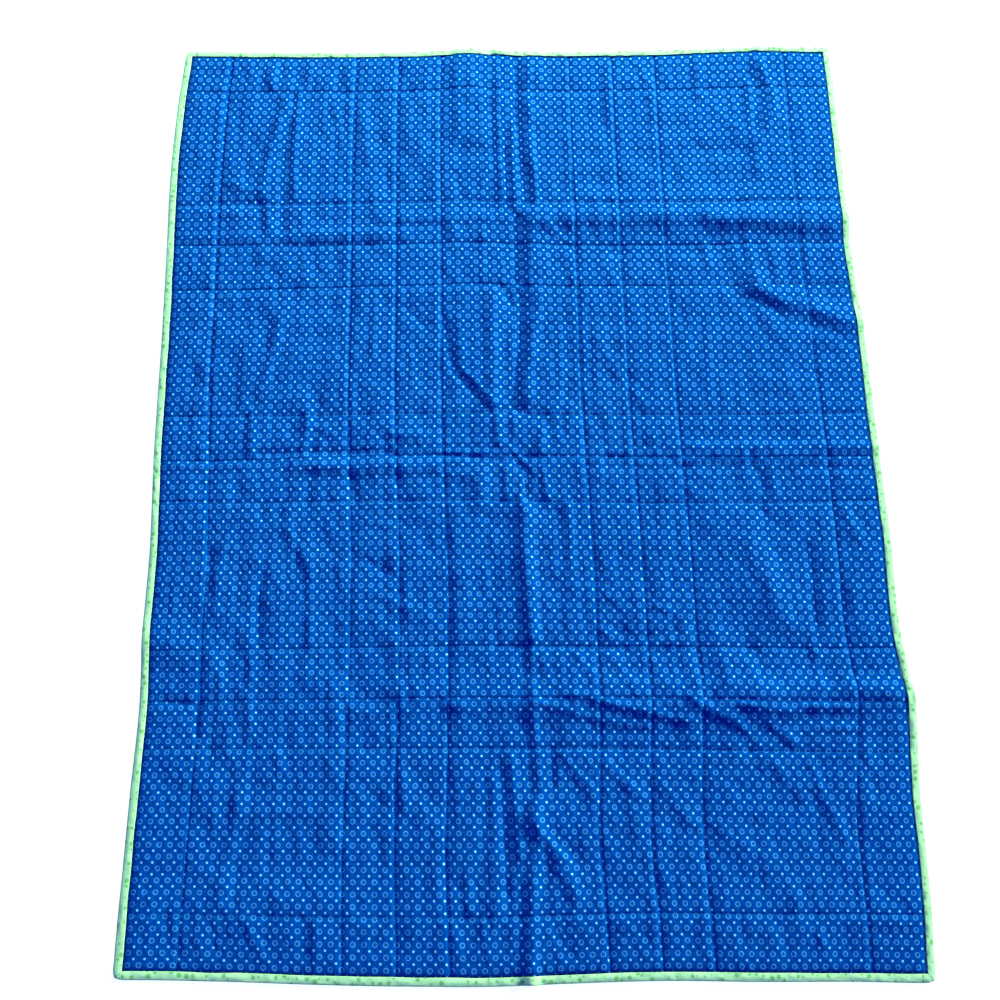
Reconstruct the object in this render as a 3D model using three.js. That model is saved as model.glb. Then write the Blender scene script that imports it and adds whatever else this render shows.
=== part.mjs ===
// A patchwork quilt that lies flat on a surface, with its one-piece back uppermost.
// One padded panel is sewn through in a grid of straight lines. A binding of four strips is
// folded over its edge and mitred at the corners.
// Millimetres, +Z up, with the head of the quilt towards +Y. The cloth's own coordinates are
// s, across from its lengthwise middle, and t, along from its crosswise middle.
import * as THREE from 'three';

// Driving dimensions
const PATCH = 63.5; // finished side of one patch
const QUILT_WIDTH = 965; // flat size, over the binding
const QUILT_LENGTH = 1280;
const LOFT = 5.4; // panel thickness at the crown of a puff
const SEWN = 2.3; // panel thickness on a quilting line
const PUFF_REACH = 9.5; // distance from a line in which a puff rises most of its height
const SHOULDER = 11; // distance from a line to the edge of its furrow
const BINDING_WIDTH = 10; // each leaf of the binding
const BINDING_CLOTH = 0.8; // two layers of cotton
const NOSE = 1; // thickness of the binding's folded outer edge
const TONGUE = 2; // panel thickness inside the binding
const CLEARANCE = 0.3; // between the panel and the binding
const MITRE_GAP = 0.22; // each strip's setback from the corner's diagonal
const RIM = 16; // outer band of the quilt that rises and falls as one
const SEAM = 13.5; // depth at which the panel has its own thickness again
const CORNER_REACH = 14; // distance from a corner in which the edges turn in
const CORNER_PULL = 2.6; // how far the corner itself is turned in, each way

// Quilting lines, in patches from the middle
const LENGTHWISE_LINES = [-6.5, -3.5, -2.5, -1.5, 1.5, 2.5, 3.5, 6.5];
const CROSSWISE_LINES = [-9, -6, -5, -4, -1, 0, 1, 4, 5, 6, 9];

// Extra sections on the crests and feet of the folds, lengthwise and crosswise
const FOOT_OF_ROLLS = 1.5 * PATCH - SHOULDER;
const LENGTHWISE_SECTIONS = [-FOOT_OF_ROLLS, -70, -56, -42, -26, -10, 4, 18, 32, 46, 62, FOOT_OF_ROLLS, 318];
const CROSSWISE_SECTIONS = [362, 338, 222, 18, -10, -296, -342];

// Sideways drift of the cloth from a true rectangle, at its left edge, middle and right edge
const SIDEWAYS_DRIFT = [
  { at: -640, low: -3, middle: 6, high: -3 },
  { at: -530, low: 0, middle: 4, high: 3 },
  { at: -420, low: 3, middle: 1, high: 6 },
  { at: -320, low: 7, middle: -2, high: 14 },
  { at: -220, low: 5, middle: -5, high: 6 },
  { at: -110, low: 7, middle: -7, high: 9 },
  { at: 20, low: 4, middle: -5, high: 8 },
  { at: 180, low: 4, middle: -2, high: 8 },
  { at: 300, low: 3, middle: -2, high: 4 },
  { at: 430, low: 1, middle: -3, high: 6 },
  { at: 550, low: 5, middle: -3, high: 8 },
  { at: 640, low: 12, middle: -1, high: 8 },
];

// Lengthwise drift, at its foot edge, middle and head edge
const LENGTHWISE_DRIFT = [
  { at: -482, low: 13, middle: -2, high: 2 },
  { at: -380, low: 9, middle: -1, high: 2 },
  { at: -240, low: 1, middle: 2, high: 2 },
  { at: -120, low: -4, middle: 4, high: 5 },
  { at: -50, low: -6, middle: 5, high: 9 },
  { at: 40, low: -5, middle: 2, high: 6 },
  { at: 150, low: -5, middle: 0, high: 7 },
  { at: 260, low: -9, middle: -2, high: 11 },
  { at: 380, low: -12, middle: -4, high: 17 },
  { at: 482, low: -16, middle: -4, high: 16 },
];

// Folds left by storage: soft ridges between two points of the cloth
const FOLDS = [
  // rolls beside the valley down the middle, from head to foot
  { from: [-58, 640], to: [-44, 490], rise: 3.5, reach: 34 },
  { from: [47, 640], to: [44, 520], rise: 3, reach: 20 },
  { from: [40, 345], to: [38, 210], rise: 2.5, reach: 20 },
  { from: [-26, 240], to: [-27, 80], rise: 4, reach: 17 },
  { from: [31, 200], to: [19, 85], rise: 3.5, reach: 14 },
  { from: [-46, -26], to: [-42, -60], rise: 4, reach: 24 },
  { from: [-70, -70], to: [-76, -240], rise: 3, reach: 26 },
  { from: [13, -75], to: [20, -235], rise: 5, reach: 16 },
  { from: [8, -440], to: [-8, -640], rise: 4.5, reach: 15 },
  { from: [8, -455], to: [52, -545], rise: 3, reach: 16 },
  { from: [-44, -495], to: [-43, -565], rise: 2.5, reach: 14 },
  // upper crosswise fold and the slanting fold below its right end
  { from: [28, 362], to: [482, 362], rise: 4.5, reach: 24 },
  { from: [-300, 334], to: [-150, 334], rise: 3, reach: 17 },
  { from: [-180, 356], to: [0, 357], rise: 3, reach: 16 },
  { from: [330, 260], to: [482, 196], rise: 4.5, reach: 26 },
  // middle crosswise fold
  { from: [230, 18], to: [482, 18], rise: 2.5, reach: 14 },
  { from: [-290, -6], to: [-100, -13], rise: 3, reach: 15 },
  // lower crosswise fold, and swells on both sides of it
  { from: [14, -316], to: [300, -318], rise: 5, reach: 38 },
  { from: [300, -308], to: [482, -308], rise: 4, reach: 30 },
  { from: [-160, -300], to: [-25, -318], rise: 3, reach: 32 },
  { from: [-455, -228], to: [-370, -285], rise: 3, reach: 42 },
  { from: [300, -75], to: [340, -218], rise: 4, reach: 26 },
];

// Sizes that follow
const HALF_WIDTH = QUILT_WIDTH / 2;
const HALF_LENGTH = QUILT_LENGTH / 2;
const TONGUE_FOOT = BINDING_CLOTH + CLEARANCE;
const TONGUE_TOP = TONGUE_FOOT + TONGUE;
const TONGUE_END = NOSE + 1;
const TONGUE_ROOT = BINDING_WIDTH + CLEARANCE;
const EDGE_HEIGHT = TONGUE_TOP + CLEARANCE + BINDING_CLOTH;
const LINES_S = LENGTHWISE_LINES.map((patches) => patches * PATCH);
const LINES_T = CROSSWISE_LINES.map((patches) => patches * PATCH);

const BACKING = new THREE.MeshStandardMaterial({ color: 0x145fc8, roughness: 0.9, metalness: 0 });
const BINDING = new THREE.MeshStandardMaterial({ color: 0xb4eba2, roughness: 0.88, metalness: 0 });

/** Smooth curve through one column of a table, at a place along it. */
function alongTable(rows, place, column) {
  const span = rows.length - 1;
  const after = rows.findIndex((row) => row.at > place);
  const next = after < 0 ? span : Math.max(after, 1);
  const value = (index) => rows[THREE.MathUtils.clamp(index, 0, span)][column];
  const from = rows[next - 1].at;
  const share = THREE.MathUtils.clamp((place - from) / (rows[next].at - from), 0, 1);
  const startSlope = (value(next) - value(next - 2)) / 2;
  const endSlope = (value(next + 1) - value(next - 1)) / 2;
  const square = share * share;
  const cube = square * share;
  return (
    value(next - 1) * (2 * cube - 3 * square + 1) +
    startSlope * (cube - 2 * square + share) +
    value(next) * (3 * square - 2 * cube) +
    endSlope * (cube - square)
  );
}

/** Drift at a place, blended from a table's two edges and middle by share, -1 to 1. */
function drift(rows, place, share) {
  const low = alongTable(rows, place, 'low') * share * (share - 1);
  const high = alongTable(rows, place, 'high') * share * (share + 1);
  return (low + high) / 2 + alongTable(rows, place, 'middle') * (1 - share * share);
}

/** How far a point near a corner is turned in, so that the corner is blunt. */
function cornerPull(s, t) {
  const acrossShare = Math.max(0, 1 - (HALF_WIDTH - Math.abs(s)) / CORNER_REACH);
  const alongShare = Math.max(0, 1 - (HALF_LENGTH - Math.abs(t)) / CORNER_REACH);
  return CORNER_PULL * (acrossShare * alongShare) ** 2;
}

/** Where a point of the cloth lies, at a height above the surface. */
function laid(s, t, height) {
  const pull = cornerPull(s, t);
  return new THREE.Vector3(
    s + drift(SIDEWAYS_DRIFT, t, s / HALF_WIDTH) - Math.sign(s) * pull,
    t + drift(LENGTHWISE_DRIFT, s, t / HALF_LENGTH) - Math.sign(t) * pull,
    height,
  );
}

/** Height of the folds under a point of the cloth. It is zero where the quilt touches the surface. */
function lift(s, t) {
  const point = new THREE.Vector3(
    THREE.MathUtils.clamp(s, RIM - HALF_WIDTH, HALF_WIDTH - RIM),
    THREE.MathUtils.clamp(t, RIM - HALF_LENGTH, HALF_LENGTH - RIM),
    0,
  );
  const crest = new THREE.Line3();
  const nearest = new THREE.Vector3();
  let height = 0;
  for (const fold of FOLDS) {
    crest.start.set(fold.from[0], fold.from[1], 0);
    crest.end.set(fold.to[0], fold.to[1], 0);
    crest.closestPointToPoint(point, true, nearest);
    const fall = Math.min(1, nearest.distanceTo(point) / fold.reach);
    height += fold.rise * (1 - fall * fall) ** 2;
  }
  return height;
}

/** How far a puff has risen at a distance from the nearest of some lines, 0 to 1. */
function swell(place, lines) {
  const distance = Math.min(...lines.map((line) => Math.abs(place - line)));
  return 1 - Math.exp(-((distance / PUFF_REACH) ** 2));
}

/** Depth of a point of the cloth inside the quilt's outer edge. */
function depthAt(s, t) {
  return Math.min(HALF_WIDTH - Math.abs(s), HALF_LENGTH - Math.abs(t));
}

/** Height of the panel's upper face. */
function upperFace(s, t) {
  if (depthAt(s, t) < TONGUE_ROOT + CLEARANCE) return lift(s, t) + TONGUE_TOP;
  const seamS = HALF_WIDTH - TONGUE_ROOT;
  const seamT = HALF_LENGTH - TONGUE_ROOT;
  const puff = swell(s, [...LINES_S, -seamS, seamS]) * swell(t, [...LINES_T, -seamT, seamT]);
  return lift(s, t) + SEWN + (LOFT - SEWN) * puff;
}

/** Height of the panel's lower face, which makes room for the binding's lower leaf. */
function lowerFace(s, t) {
  const inBinding = depthAt(s, t) < TONGUE_ROOT + CLEARANCE;
  return lift(s, t) + (inBinding ? TONGUE_FOOT : 0);
}

/** Places of the panel's sections in one direction. Shoulders beside the lines are optional. */
function sections(lines, half, extra, withShoulders) {
  const edges = [half - TONGUE_END, half - TONGUE_ROOT, half - SEAM];
  const places = [...edges, ...edges.map((place) => -place), ...lines, ...extra];
  const stops = [SEAM - half, ...lines, half - SEAM];
  for (let index = 1; index < stops.length; index += 1) {
    const gap = stops[index] - stops[index - 1];
    const steps = gap > 2 * PATCH ? 3 : 2;
    const isMiddleBlock = stops[index - 1] < 0 && stops[index] > 0;
    for (let step = 1; step < steps && !isMiddleBlock; step += 1) {
      places.push(stops[index - 1] + (gap * step) / steps);
    }
  }
  if (withShoulders) {
    places.push(...lines.map((line) => line - SHOULDER), ...lines.map((line) => line + SHOULDER));
  }
  return [...new Set(places)].sort((one, other) => one - other);
}

/** Closed mesh from its points and its triangles, with its faces outwards. */
function closedMesh(name, points, triangles, material) {
  const geometry = new THREE.BufferGeometry().setFromPoints(points);
  geometry.setIndex(triangles);
  geometry.computeVertexNormals();
  const mesh = new THREE.Mesh(geometry, material);
  mesh.name = name;
  return mesh;
}

/** One face of the panel: its points, the triangles of its grid, and its rim from corner to corner. */
function panelFace(columns, rows, heightAt, firstVertex, facesUp) {
  const points = rows.flatMap((t) => columns.map((s) => laid(s, t, heightAt(s, t))));
  const vertex = (column, row) => firstVertex + row * columns.length + column;
  const triangles = [];
  for (let row = 1; row < rows.length; row += 1) {
    for (let column = 1; column < columns.length; column += 1) {
      const a = vertex(column - 1, row - 1);
      const b = vertex(column, row - 1);
      const c = vertex(column, row);
      const d = vertex(column - 1, row);
      triangles.push(...(facesUp ? [a, b, c, a, c, d] : [a, c, b, a, d, c]));
    }
  }
  const lastColumn = columns.length - 1;
  const lastRow = rows.length - 1;
  const rim = [
    columns.map((s, column) => ({ at: s, vertex: vertex(column, 0) })),
    rows.map((t, row) => ({ at: t, vertex: vertex(lastColumn, row) })),
    columns.map((s, column) => ({ at: -s, vertex: vertex(column, lastRow) })).reverse(),
    rows.map((t, row) => ({ at: -t, vertex: vertex(0, row) })).reverse(),
  ];
  return { points, triangles, rim };
}

/** Triangles of the wall between one side of the lower rim and the same side of the upper rim. */
function rimWall(lower, upper) {
  const triangles = [];
  let low = 0;
  let high = 0;
  while (low < lower.length - 1 || high < upper.length - 1) {
    const upperDone = high === upper.length - 1;
    if (upperDone || (low < lower.length - 1 && lower[low + 1].at <= upper[high + 1].at)) {
      triangles.push(lower[low].vertex, lower[low + 1].vertex, upper[high].vertex);
      low += 1;
    } else {
      triangles.push(lower[low].vertex, upper[high + 1].vertex, upper[high].vertex);
      high += 1;
    }
  }
  return triangles;
}

/** The padded panel. Its lower face has no furrows, so it has fewer lengthwise sections. */
function quiltPanel() {
  const columns = sections(LINES_S, HALF_WIDTH, LENGTHWISE_SECTIONS, true);
  const plainColumns = sections(LINES_S, HALF_WIDTH, LENGTHWISE_SECTIONS, false);
  const rows = sections(LINES_T, HALF_LENGTH, CROSSWISE_SECTIONS, true);
  const upper = panelFace(columns, rows, upperFace, 0, true);
  const lower = panelFace(plainColumns, rows, lowerFace, upper.points.length, false);
  const walls = upper.rim.flatMap((side, index) => rimWall(lower.rim[index], side));
  const points = [...upper.points, ...lower.points];
  return closedMesh('quilt_panel', points, [...upper.triangles, ...lower.triangles, ...walls], BACKING);
}

// Section of the binding, round its two leaves and folded outer edge: depth inwards, and height
const BINDING_SECTION = [
  { depth: BINDING_WIDTH, height: EDGE_HEIGHT },
  { depth: NOSE * 1.2, height: EDGE_HEIGHT },
  { depth: 0, height: EDGE_HEIGHT - NOSE },
  { depth: 0, height: NOSE },
  { depth: NOSE * 1.2, height: 0 },
  { depth: BINDING_WIDTH, height: 0 },
  { depth: BINDING_WIDTH, height: BINDING_CLOTH },
  { depth: NOSE, height: BINDING_CLOTH },
  { depth: NOSE, height: EDGE_HEIGHT - BINDING_CLOTH },
  { depth: BINDING_WIDTH, height: EDGE_HEIGHT - BINDING_CLOTH },
];

/** One strip of the binding. cornerAt gives the cloth's point at a place along it and a depth. */
function bindingStrip(name, places, half, cornerAt) {
  const ring = BINDING_SECTION.length;
  const turn = half - CORNER_REACH;
  const inner = places.filter((place) => Math.abs(place) < turn - CLEARANCE);
  const stations = [-Infinity, -turn, ...inner, turn, Infinity];
  const points = stations.flatMap((place) => BINDING_SECTION.map(({ depth, height }) => {
    const mitre = half - depth - MITRE_GAP;
    const [s, t] = cornerAt(THREE.MathUtils.clamp(place, -mitre, mitre), depth);
    return laid(s, t, lift(s, t) + height);
  }));
  const triangles = [];
  for (let station = 1; station < stations.length; station += 1) {
    for (let corner = 0; corner < ring; corner += 1) {
      const following = (corner + 1) % ring;
      const a = (station - 1) * ring + corner;
      const b = (station - 1) * ring + following;
      const c = station * ring + following;
      const d = station * ring + corner;
      triangles.push(a, b, c, a, c, d);
    }
  }
  const outline = BINDING_SECTION.map(({ depth, height }) => new THREE.Vector2(depth, height));
  const lastRing = (stations.length - 1) * ring;
  for (const [a, b, c] of THREE.ShapeUtils.triangulateShape(outline, [])) {
    triangles.push(c, b, a, lastRing + a, lastRing + b, lastRing + c);
  }
  return closedMesh(name, points, triangles, BINDING);
}

/** The four strips of the binding, each swept anticlockwise round the quilt on the panel's sections. */
function bindingStrips() {
  const across = sections(LINES_S, HALF_WIDTH, LENGTHWISE_SECTIONS, true);
  const along = sections(LINES_T, HALF_LENGTH, CROSSWISE_SECTIONS, true);
  const backwards = (places) => places.map((place) => -place).reverse();
  const head = (place, depth) => [-place, HALF_LENGTH - depth];
  const foot = (place, depth) => [place, depth - HALF_LENGTH];
  const left = (place, depth) => [depth - HALF_WIDTH, -place];
  const right = (place, depth) => [HALF_WIDTH - depth, place];
  return [
    bindingStrip('binding_head', backwards(across), HALF_WIDTH, head),
    bindingStrip('binding_foot', across, HALF_WIDTH, foot),
    bindingStrip('binding_left', backwards(along), HALF_LENGTH, left),
    bindingStrip('binding_right', along, HALF_LENGTH, right),
  ];
}

const pieces = new THREE.Group();
pieces.add(quiltPanel(), ...bindingStrips());

// The origin lies under the middle of the quilt's box.
const middle = new THREE.Box3().setFromObject(pieces).getCenter(new THREE.Vector3());
pieces.position.set(-middle.x, -middle.y, 0);

const quilt = new THREE.Group();
quilt.add(pieces);

export default quilt;
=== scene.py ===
"""A patchwork quilt that lies flat, with its one-piece printed back uppermost.

The padded panel is sewn through in a grid of straight lines, and four strips of binding are folded over
its edge. The cloth's own coordinates are in millimetres: s across from its lengthwise middle, and t along
from its crosswise middle, towards the head. Places in the scene are in metres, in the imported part's frame.
"""

import itertools
import logging
import math
from dataclasses import dataclass
from enum import Enum
from typing import Any

import bpy
import numpy as np
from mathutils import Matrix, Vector


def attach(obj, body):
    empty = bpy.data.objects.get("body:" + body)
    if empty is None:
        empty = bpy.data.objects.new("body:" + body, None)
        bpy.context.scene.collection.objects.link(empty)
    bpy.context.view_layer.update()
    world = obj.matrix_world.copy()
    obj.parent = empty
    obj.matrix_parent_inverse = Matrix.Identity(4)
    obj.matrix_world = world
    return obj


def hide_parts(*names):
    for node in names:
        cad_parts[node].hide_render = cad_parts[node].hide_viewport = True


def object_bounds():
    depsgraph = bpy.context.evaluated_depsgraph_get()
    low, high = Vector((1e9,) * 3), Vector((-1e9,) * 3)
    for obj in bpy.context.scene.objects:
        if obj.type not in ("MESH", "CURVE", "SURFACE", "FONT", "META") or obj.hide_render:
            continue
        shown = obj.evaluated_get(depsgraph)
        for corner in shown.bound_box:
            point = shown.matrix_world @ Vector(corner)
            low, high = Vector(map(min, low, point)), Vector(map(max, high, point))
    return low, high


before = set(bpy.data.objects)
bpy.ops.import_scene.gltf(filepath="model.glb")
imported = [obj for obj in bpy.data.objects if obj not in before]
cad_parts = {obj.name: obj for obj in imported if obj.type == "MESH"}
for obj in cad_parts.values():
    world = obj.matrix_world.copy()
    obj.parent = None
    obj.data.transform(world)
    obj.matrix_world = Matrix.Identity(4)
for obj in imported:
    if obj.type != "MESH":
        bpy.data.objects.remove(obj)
CAD_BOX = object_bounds()

LOG = logging.getLogger("quilt")
MM = 0.001
TINY = 1e-9

Array = np.ndarray
Colour = tuple[float, float, float]
Point = tuple[float, float]


class Side(Enum):
    """The four edges of the quilt, seen from its foot."""

    HEAD = "head"
    FOOT = "foot"
    LEFT = "left"
    RIGHT = "right"


class Slot(Enum):
    """The record's material slots."""

    BACKING = "backing"
    BINDING = "binding"


@dataclass(frozen=True)
class QuiltSizes:
    """Driving sizes of the quilt, in millimetres."""

    patch: float = 63.5
    width: float = 965.0
    length: float = 1280.0
    loft: float = 5.4
    sewn: float = 2.3
    seam: float = 1.3
    seam_reach: float = 4.0
    puff_reach: float = 9.0
    puff_share: float = 0.18
    needle_reach: float = 2.1
    needle_share: float = 0.78
    thinnest: float = 1.2
    binding_width: float = 10.0
    binding_cloth: float = 0.8
    tongue: float = 2.0
    tongue_end: float = 2.0
    clearance: float = 0.3
    mitre_gap: float = 0.22
    rim: float = 16.0
    corner_reach: float = 14.0
    corner_pull: float = 2.6

    @property
    def half_width(self) -> float:
        """Half of the flat width."""
        return self.width / 2

    @property
    def half_length(self) -> float:
        """Half of the flat length."""
        return self.length / 2

    @property
    def tongue_foot(self) -> float:
        """Height of the panel's lower face inside the binding."""
        return self.binding_cloth + self.clearance

    @property
    def tongue_top(self) -> float:
        """Height of the panel's upper face inside the binding."""
        return self.tongue_foot + self.tongue

    @property
    def tongue_root(self) -> float:
        """Depth at which the panel comes out of the binding."""
        return self.binding_width + self.clearance

    @property
    def edge_height(self) -> float:
        """Height of the folded binding."""
        return self.tongue_top + self.clearance + self.binding_cloth


@dataclass(frozen=True)
class DriftRow:
    """How far the cloth strays at one place, on its low side, in its middle and on its high side."""

    at: float
    low: float
    middle: float
    high: float


@dataclass(frozen=True)
class Fold:
    """A soft ridge along a path of cloth points, or a trough where the rise is negative."""

    path: tuple[Point, ...]
    rise: float
    reach: float
    lean: float = 0.0


def crease(rise: float, reach: float, *path: Point, lean: float = 0.0) -> Fold:
    """A fold, written with its rise and reach first. A leaning one reaches further on its path's right."""
    return Fold(path, rise, reach, lean)


# Quilting lines, in patches from the middle
LENGTHWISE_LINES = (-6.5, -3.5, -2.5, -1.5, 1.5, 2.5, 3.5, 6.5)
CROSSWISE_LINES = (-9, -6, -5, -4, -1, 0, 1, 4, 5, 6, 9)

# Sideways drift of the cloth from a true rectangle, by t: left edge, middle and right edge
SIDEWAYS_DRIFT = (
    DriftRow(-640, -3, 6, -3),
    DriftRow(-530, 0, 4, 3),
    DriftRow(-420, 3, 1, 6),
    DriftRow(-320, 7, -2, 14),
    DriftRow(-220, 5, -5, 6),
    DriftRow(-110, 7, -7, 9),
    DriftRow(20, 4, -5, 8),
    DriftRow(180, 4, -2, 8),
    DriftRow(300, 3, -2, 4),
    DriftRow(430, 1, -3, 6),
    DriftRow(550, 5, -3, 8),
    DriftRow(640, 12, -1, 8),
)

# Lengthwise drift, by s: foot edge, middle and head edge
LENGTHWISE_DRIFT = (
    DriftRow(-482, 13, -2, 2),
    DriftRow(-380, 9, -1, 2),
    DriftRow(-240, 1, 2, 2),
    DriftRow(-120, -4, 4, 5),
    DriftRow(-50, -6, 5, 9),
    DriftRow(40, -5, 2, 6),
    DriftRow(150, -5, 0, 7),
    DriftRow(260, -9, -2, 11),
    DriftRow(380, -12, -4, 17),
    DriftRow(482, -16, -4, 16),
)

# How far the lengthwise lines of sewing wander across the print, by t: left, middle and right
LENGTHWISE_WANDER = (
    DriftRow(-640, 2, -7, -9),
    DriftRow(-500, 5, -9, -12),
    DriftRow(-400, 6, -3, -7),
    DriftRow(-300, 8, 3, -1),
    DriftRow(-150, 6, 8, -2),
    DriftRow(0, 6, 2, 0),
    DriftRow(150, 1, -3, -3),
    DriftRow(500, 4, 0, -3),
    DriftRow(640, 2, 0, 0),
)

# How far the crosswise lines of sewing wander along the print, by t: left, middle and right
CROSSWISE_WANDER = (
    DriftRow(-571.5, 4, 5, 6),
    DriftRow(-381, 10, 7, 3),
    DriftRow(-317.5, 4, 4, 2),
    DriftRow(-254, 5, 5, 5),
    DriftRow(-63.5, 13, 4, 8),
    DriftRow(0, 5, 3, 5),
    DriftRow(63.5, 5, -1, 3),
    DriftRow(254, 0, -2, 2),
    DriftRow(317.5, 5, -1, 1),
    DriftRow(381, 3, 2, 2),
    DriftRow(571.5, -2, -3, -2),
)

# Folds left by storage, as in the solid
STORAGE_FOLDS = (
    # rolls beside the valley down the middle, from head to foot
    crease(3.5, 34, (-58, 640), (-44, 490)),
    crease(2, 20, (47, 640), (44, 520)),
    crease(2.5, 20, (40, 345), (38, 210)),
    crease(4, 17, (-26, 240), (-27, 80)),
    crease(3.5, 14, (31, 200), (19, 85)),
    crease(4, 24, (-46, -26), (-42, -60)),
    crease(2, 26, (-70, -70), (-76, -240)),
    crease(5, 15, (13, -65), (17, -235)),
    crease(4.5, 15, (8, -440), (-8, -640)),
    crease(3, 16, (8, -455), (52, -545)),
    crease(2.5, 14, (-44, -495), (-43, -565)),
    # upper crosswise fold and the slanting fold below its right end
    crease(3.2, 22, (28, 362), (482, 362)),
    crease(3, 17, (-300, 334), (-150, 334)),
    crease(2.2, 16, (-180, 356), (0, 357)),
    crease(3.2, 26, (338, 257), (482, 196)),
    # middle crosswise fold
    crease(2.5, 14, (230, 18), (482, 18)),
    crease(2.4, 15, (-290, -6), (-100, -13)),
    # lower crosswise fold, and swells on both sides of it
    crease(5, 38, (14, -316), (300, -318)),
    crease(4, 30, (300, -308), (482, -308)),
    crease(3, 32, (-160, -300), (-25, -318)),
    crease(3, 38, (-475, -228), (-398, -266)),
    crease(2, 26, (300, -75), (340, -218)),
)

# Creases in the printed back: rise, reach and path
VALLEY_CREASES = (
    crease(-5, 9, (17, 640), (17, 560), (20, 500), (25, 440), (27, 385)),
    crease(4.4, 8, (34, 640), (34, 560), (36, 500), (39, 440), (40, 385)),
    crease(-5, 9, (12, 360), (11, 300), (10, 258)),
    crease(3, 10, (30, 352), (28, 300), (27, 258)),
    crease(-3, 12, (-12, 248), (0, 225), (4, 200)),
    crease(-4.5, 9, (13, 240), (11, 160), (7, 103), (5, 70)),
    crease(-2, 8, (2, -55), (4, -90), (5, -130), (5, -200), (4, -250), (3, -300)),
    crease(1.2, 8, (19, -70), (22, -150), (22, -225)),
    crease(1.7, 8, (15, -225), (14, -300), (15, -375), (17, -440)),
    crease(-1.4, 7, (2, -300), (3, -370), (4, -430)),
)

HEAD_LEFT_CREASES = (
    crease(2.4, 12, (-348, 640), (-348, 578)),
    crease(-1.2, 7, (-333, 640), (-332, 578)),
    crease(1.5, 7, (-325, 640), (-324, 578)),
    crease(2.4, 8, (-293, 640), (-291, 578)),
    crease(-1.3, 7, (-309, 640), (-309, 578)),
    crease(1.6, 8, (-258, 640), (-258, 578)),
    crease(1, 7, (-236, 640), (-236, 580)),
    crease(-1.5, 8, (-398, 640), (-394, 600)),
    crease(1.3, 9, (-384, 615), (-372, 580)),
    crease(1, 20, (-460, 590), (-430, 580)),
    crease(-1.6, 10, (-160, 640), (-161, 590)),
    crease(2, 8, (-106, 632), (-122, 578)),
    crease(-1.6, 7, (-118, 632), (-143, 580)),
    crease(2.2, 10, (-71, 640), (-70, 560), (-72, 470)),
    crease(1.5, 9, (-33, 565), (-33, 480)),
    crease(3.4, 7, (-11, 640), (-10, 500), (-9, 440), (-9, 385)),
    crease(3, 6, (10, 515), (9, 440), (9, 372)),
    crease(-2, 5, (0, 470), (0, 375)),
    crease(-2, 12, (-78, 430), (-66, 388)),
    crease(1.8, 9, (-28, 440), (-38, 391)),
    crease(3, 9, (-322, 552), (-334, 500), (-346, 440), (-349, 395)),
    crease(-2.2, 8, (-312, 565), (-316, 500), (-322, 440), (-322, 392)),
    crease(3.2, 7, (-304, 572), (-304, 480), (-303, 395)),
    crease(-1.2, 7, (-334, 556), (-347, 505), (-357, 450)),
    crease(1.2, 9, (-372, 560), (-364, 500)),
    crease(1.7, 8, (-250, 545), (-239, 495), (-236, 465)),
    crease(-1.4, 8, (-264, 548), (-247, 500), (-244, 470)),
    crease(1.2, 7, (-281, 490), (-280, 430)),
    crease(1.9, 6, (-241, 442), (-243, 395)),
    crease(1.3, 8, (-202, 510), (-199, 450)),
    crease(-1.7, 9, (-176, 440), (-170, 398)),
    crease(1.4, 10, (-142, 555), (-140, 470)),
    crease(1.2, 9, (-121, 490), (-118, 440)),
    crease(1, 8, (-438, 520), (-436, 455)),
)

UPPER_FOLD_CREASES = (
    crease(1.8, 9, (-402, 421), (-352, 404)),
    crease(-1.9, 9, (-440, 389), (-400, 388), (-350, 386)),
    crease(1.6, 9, (-442, 374), (-360, 368)),
    crease(-2.2, 11, (-322, 392), (-318, 365), (-316, 340)),
    crease(2.6, 12, (-343, 380), (-336, 345)),
    crease(2.2, 9, (-292, 374), (-291, 345)),
    crease(1.8, 9, (-455, 336), (-380, 334), (-310, 332)),
    crease(1.6, 9, (-193, 398), (-189, 362)),
    crease(1.2, 9, (-194, 345), (-194, 323)),
    crease(-1.5, 7, (-170, 349), (-90, 349)),
    crease(1.6, 9, (-82, 365), (-78, 335)),
    crease(2.4, 9, (-37, 364), (-37, 322)),
    crease(-1.2, 8, (-61, 365), (-61, 340)),
    crease(-1, 10, (-280, 365), (-250, 355)),
    crease(1, 10, (-465, 380), (-452, 366)),
    crease(1.5, 12, (52, 356), (56, 350)),
    crease(2, 10, (44, 352), (86, 322)),
    crease(1.3, 12, (197, 358), (228, 362)),
    crease(2.2, 9, (281, 362), (288, 335)),
    crease(1.3, 12, (343, 365), (350, 364)),
    crease(1.3, 12, (417, 367), (424, 366)),
    crease(3.4, 22, (300, 352), (345, 349), (400, 344), (480, 344)),
    crease(-1.6, 18, (70, 310), (200, 308), (300, 306)),
)

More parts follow.
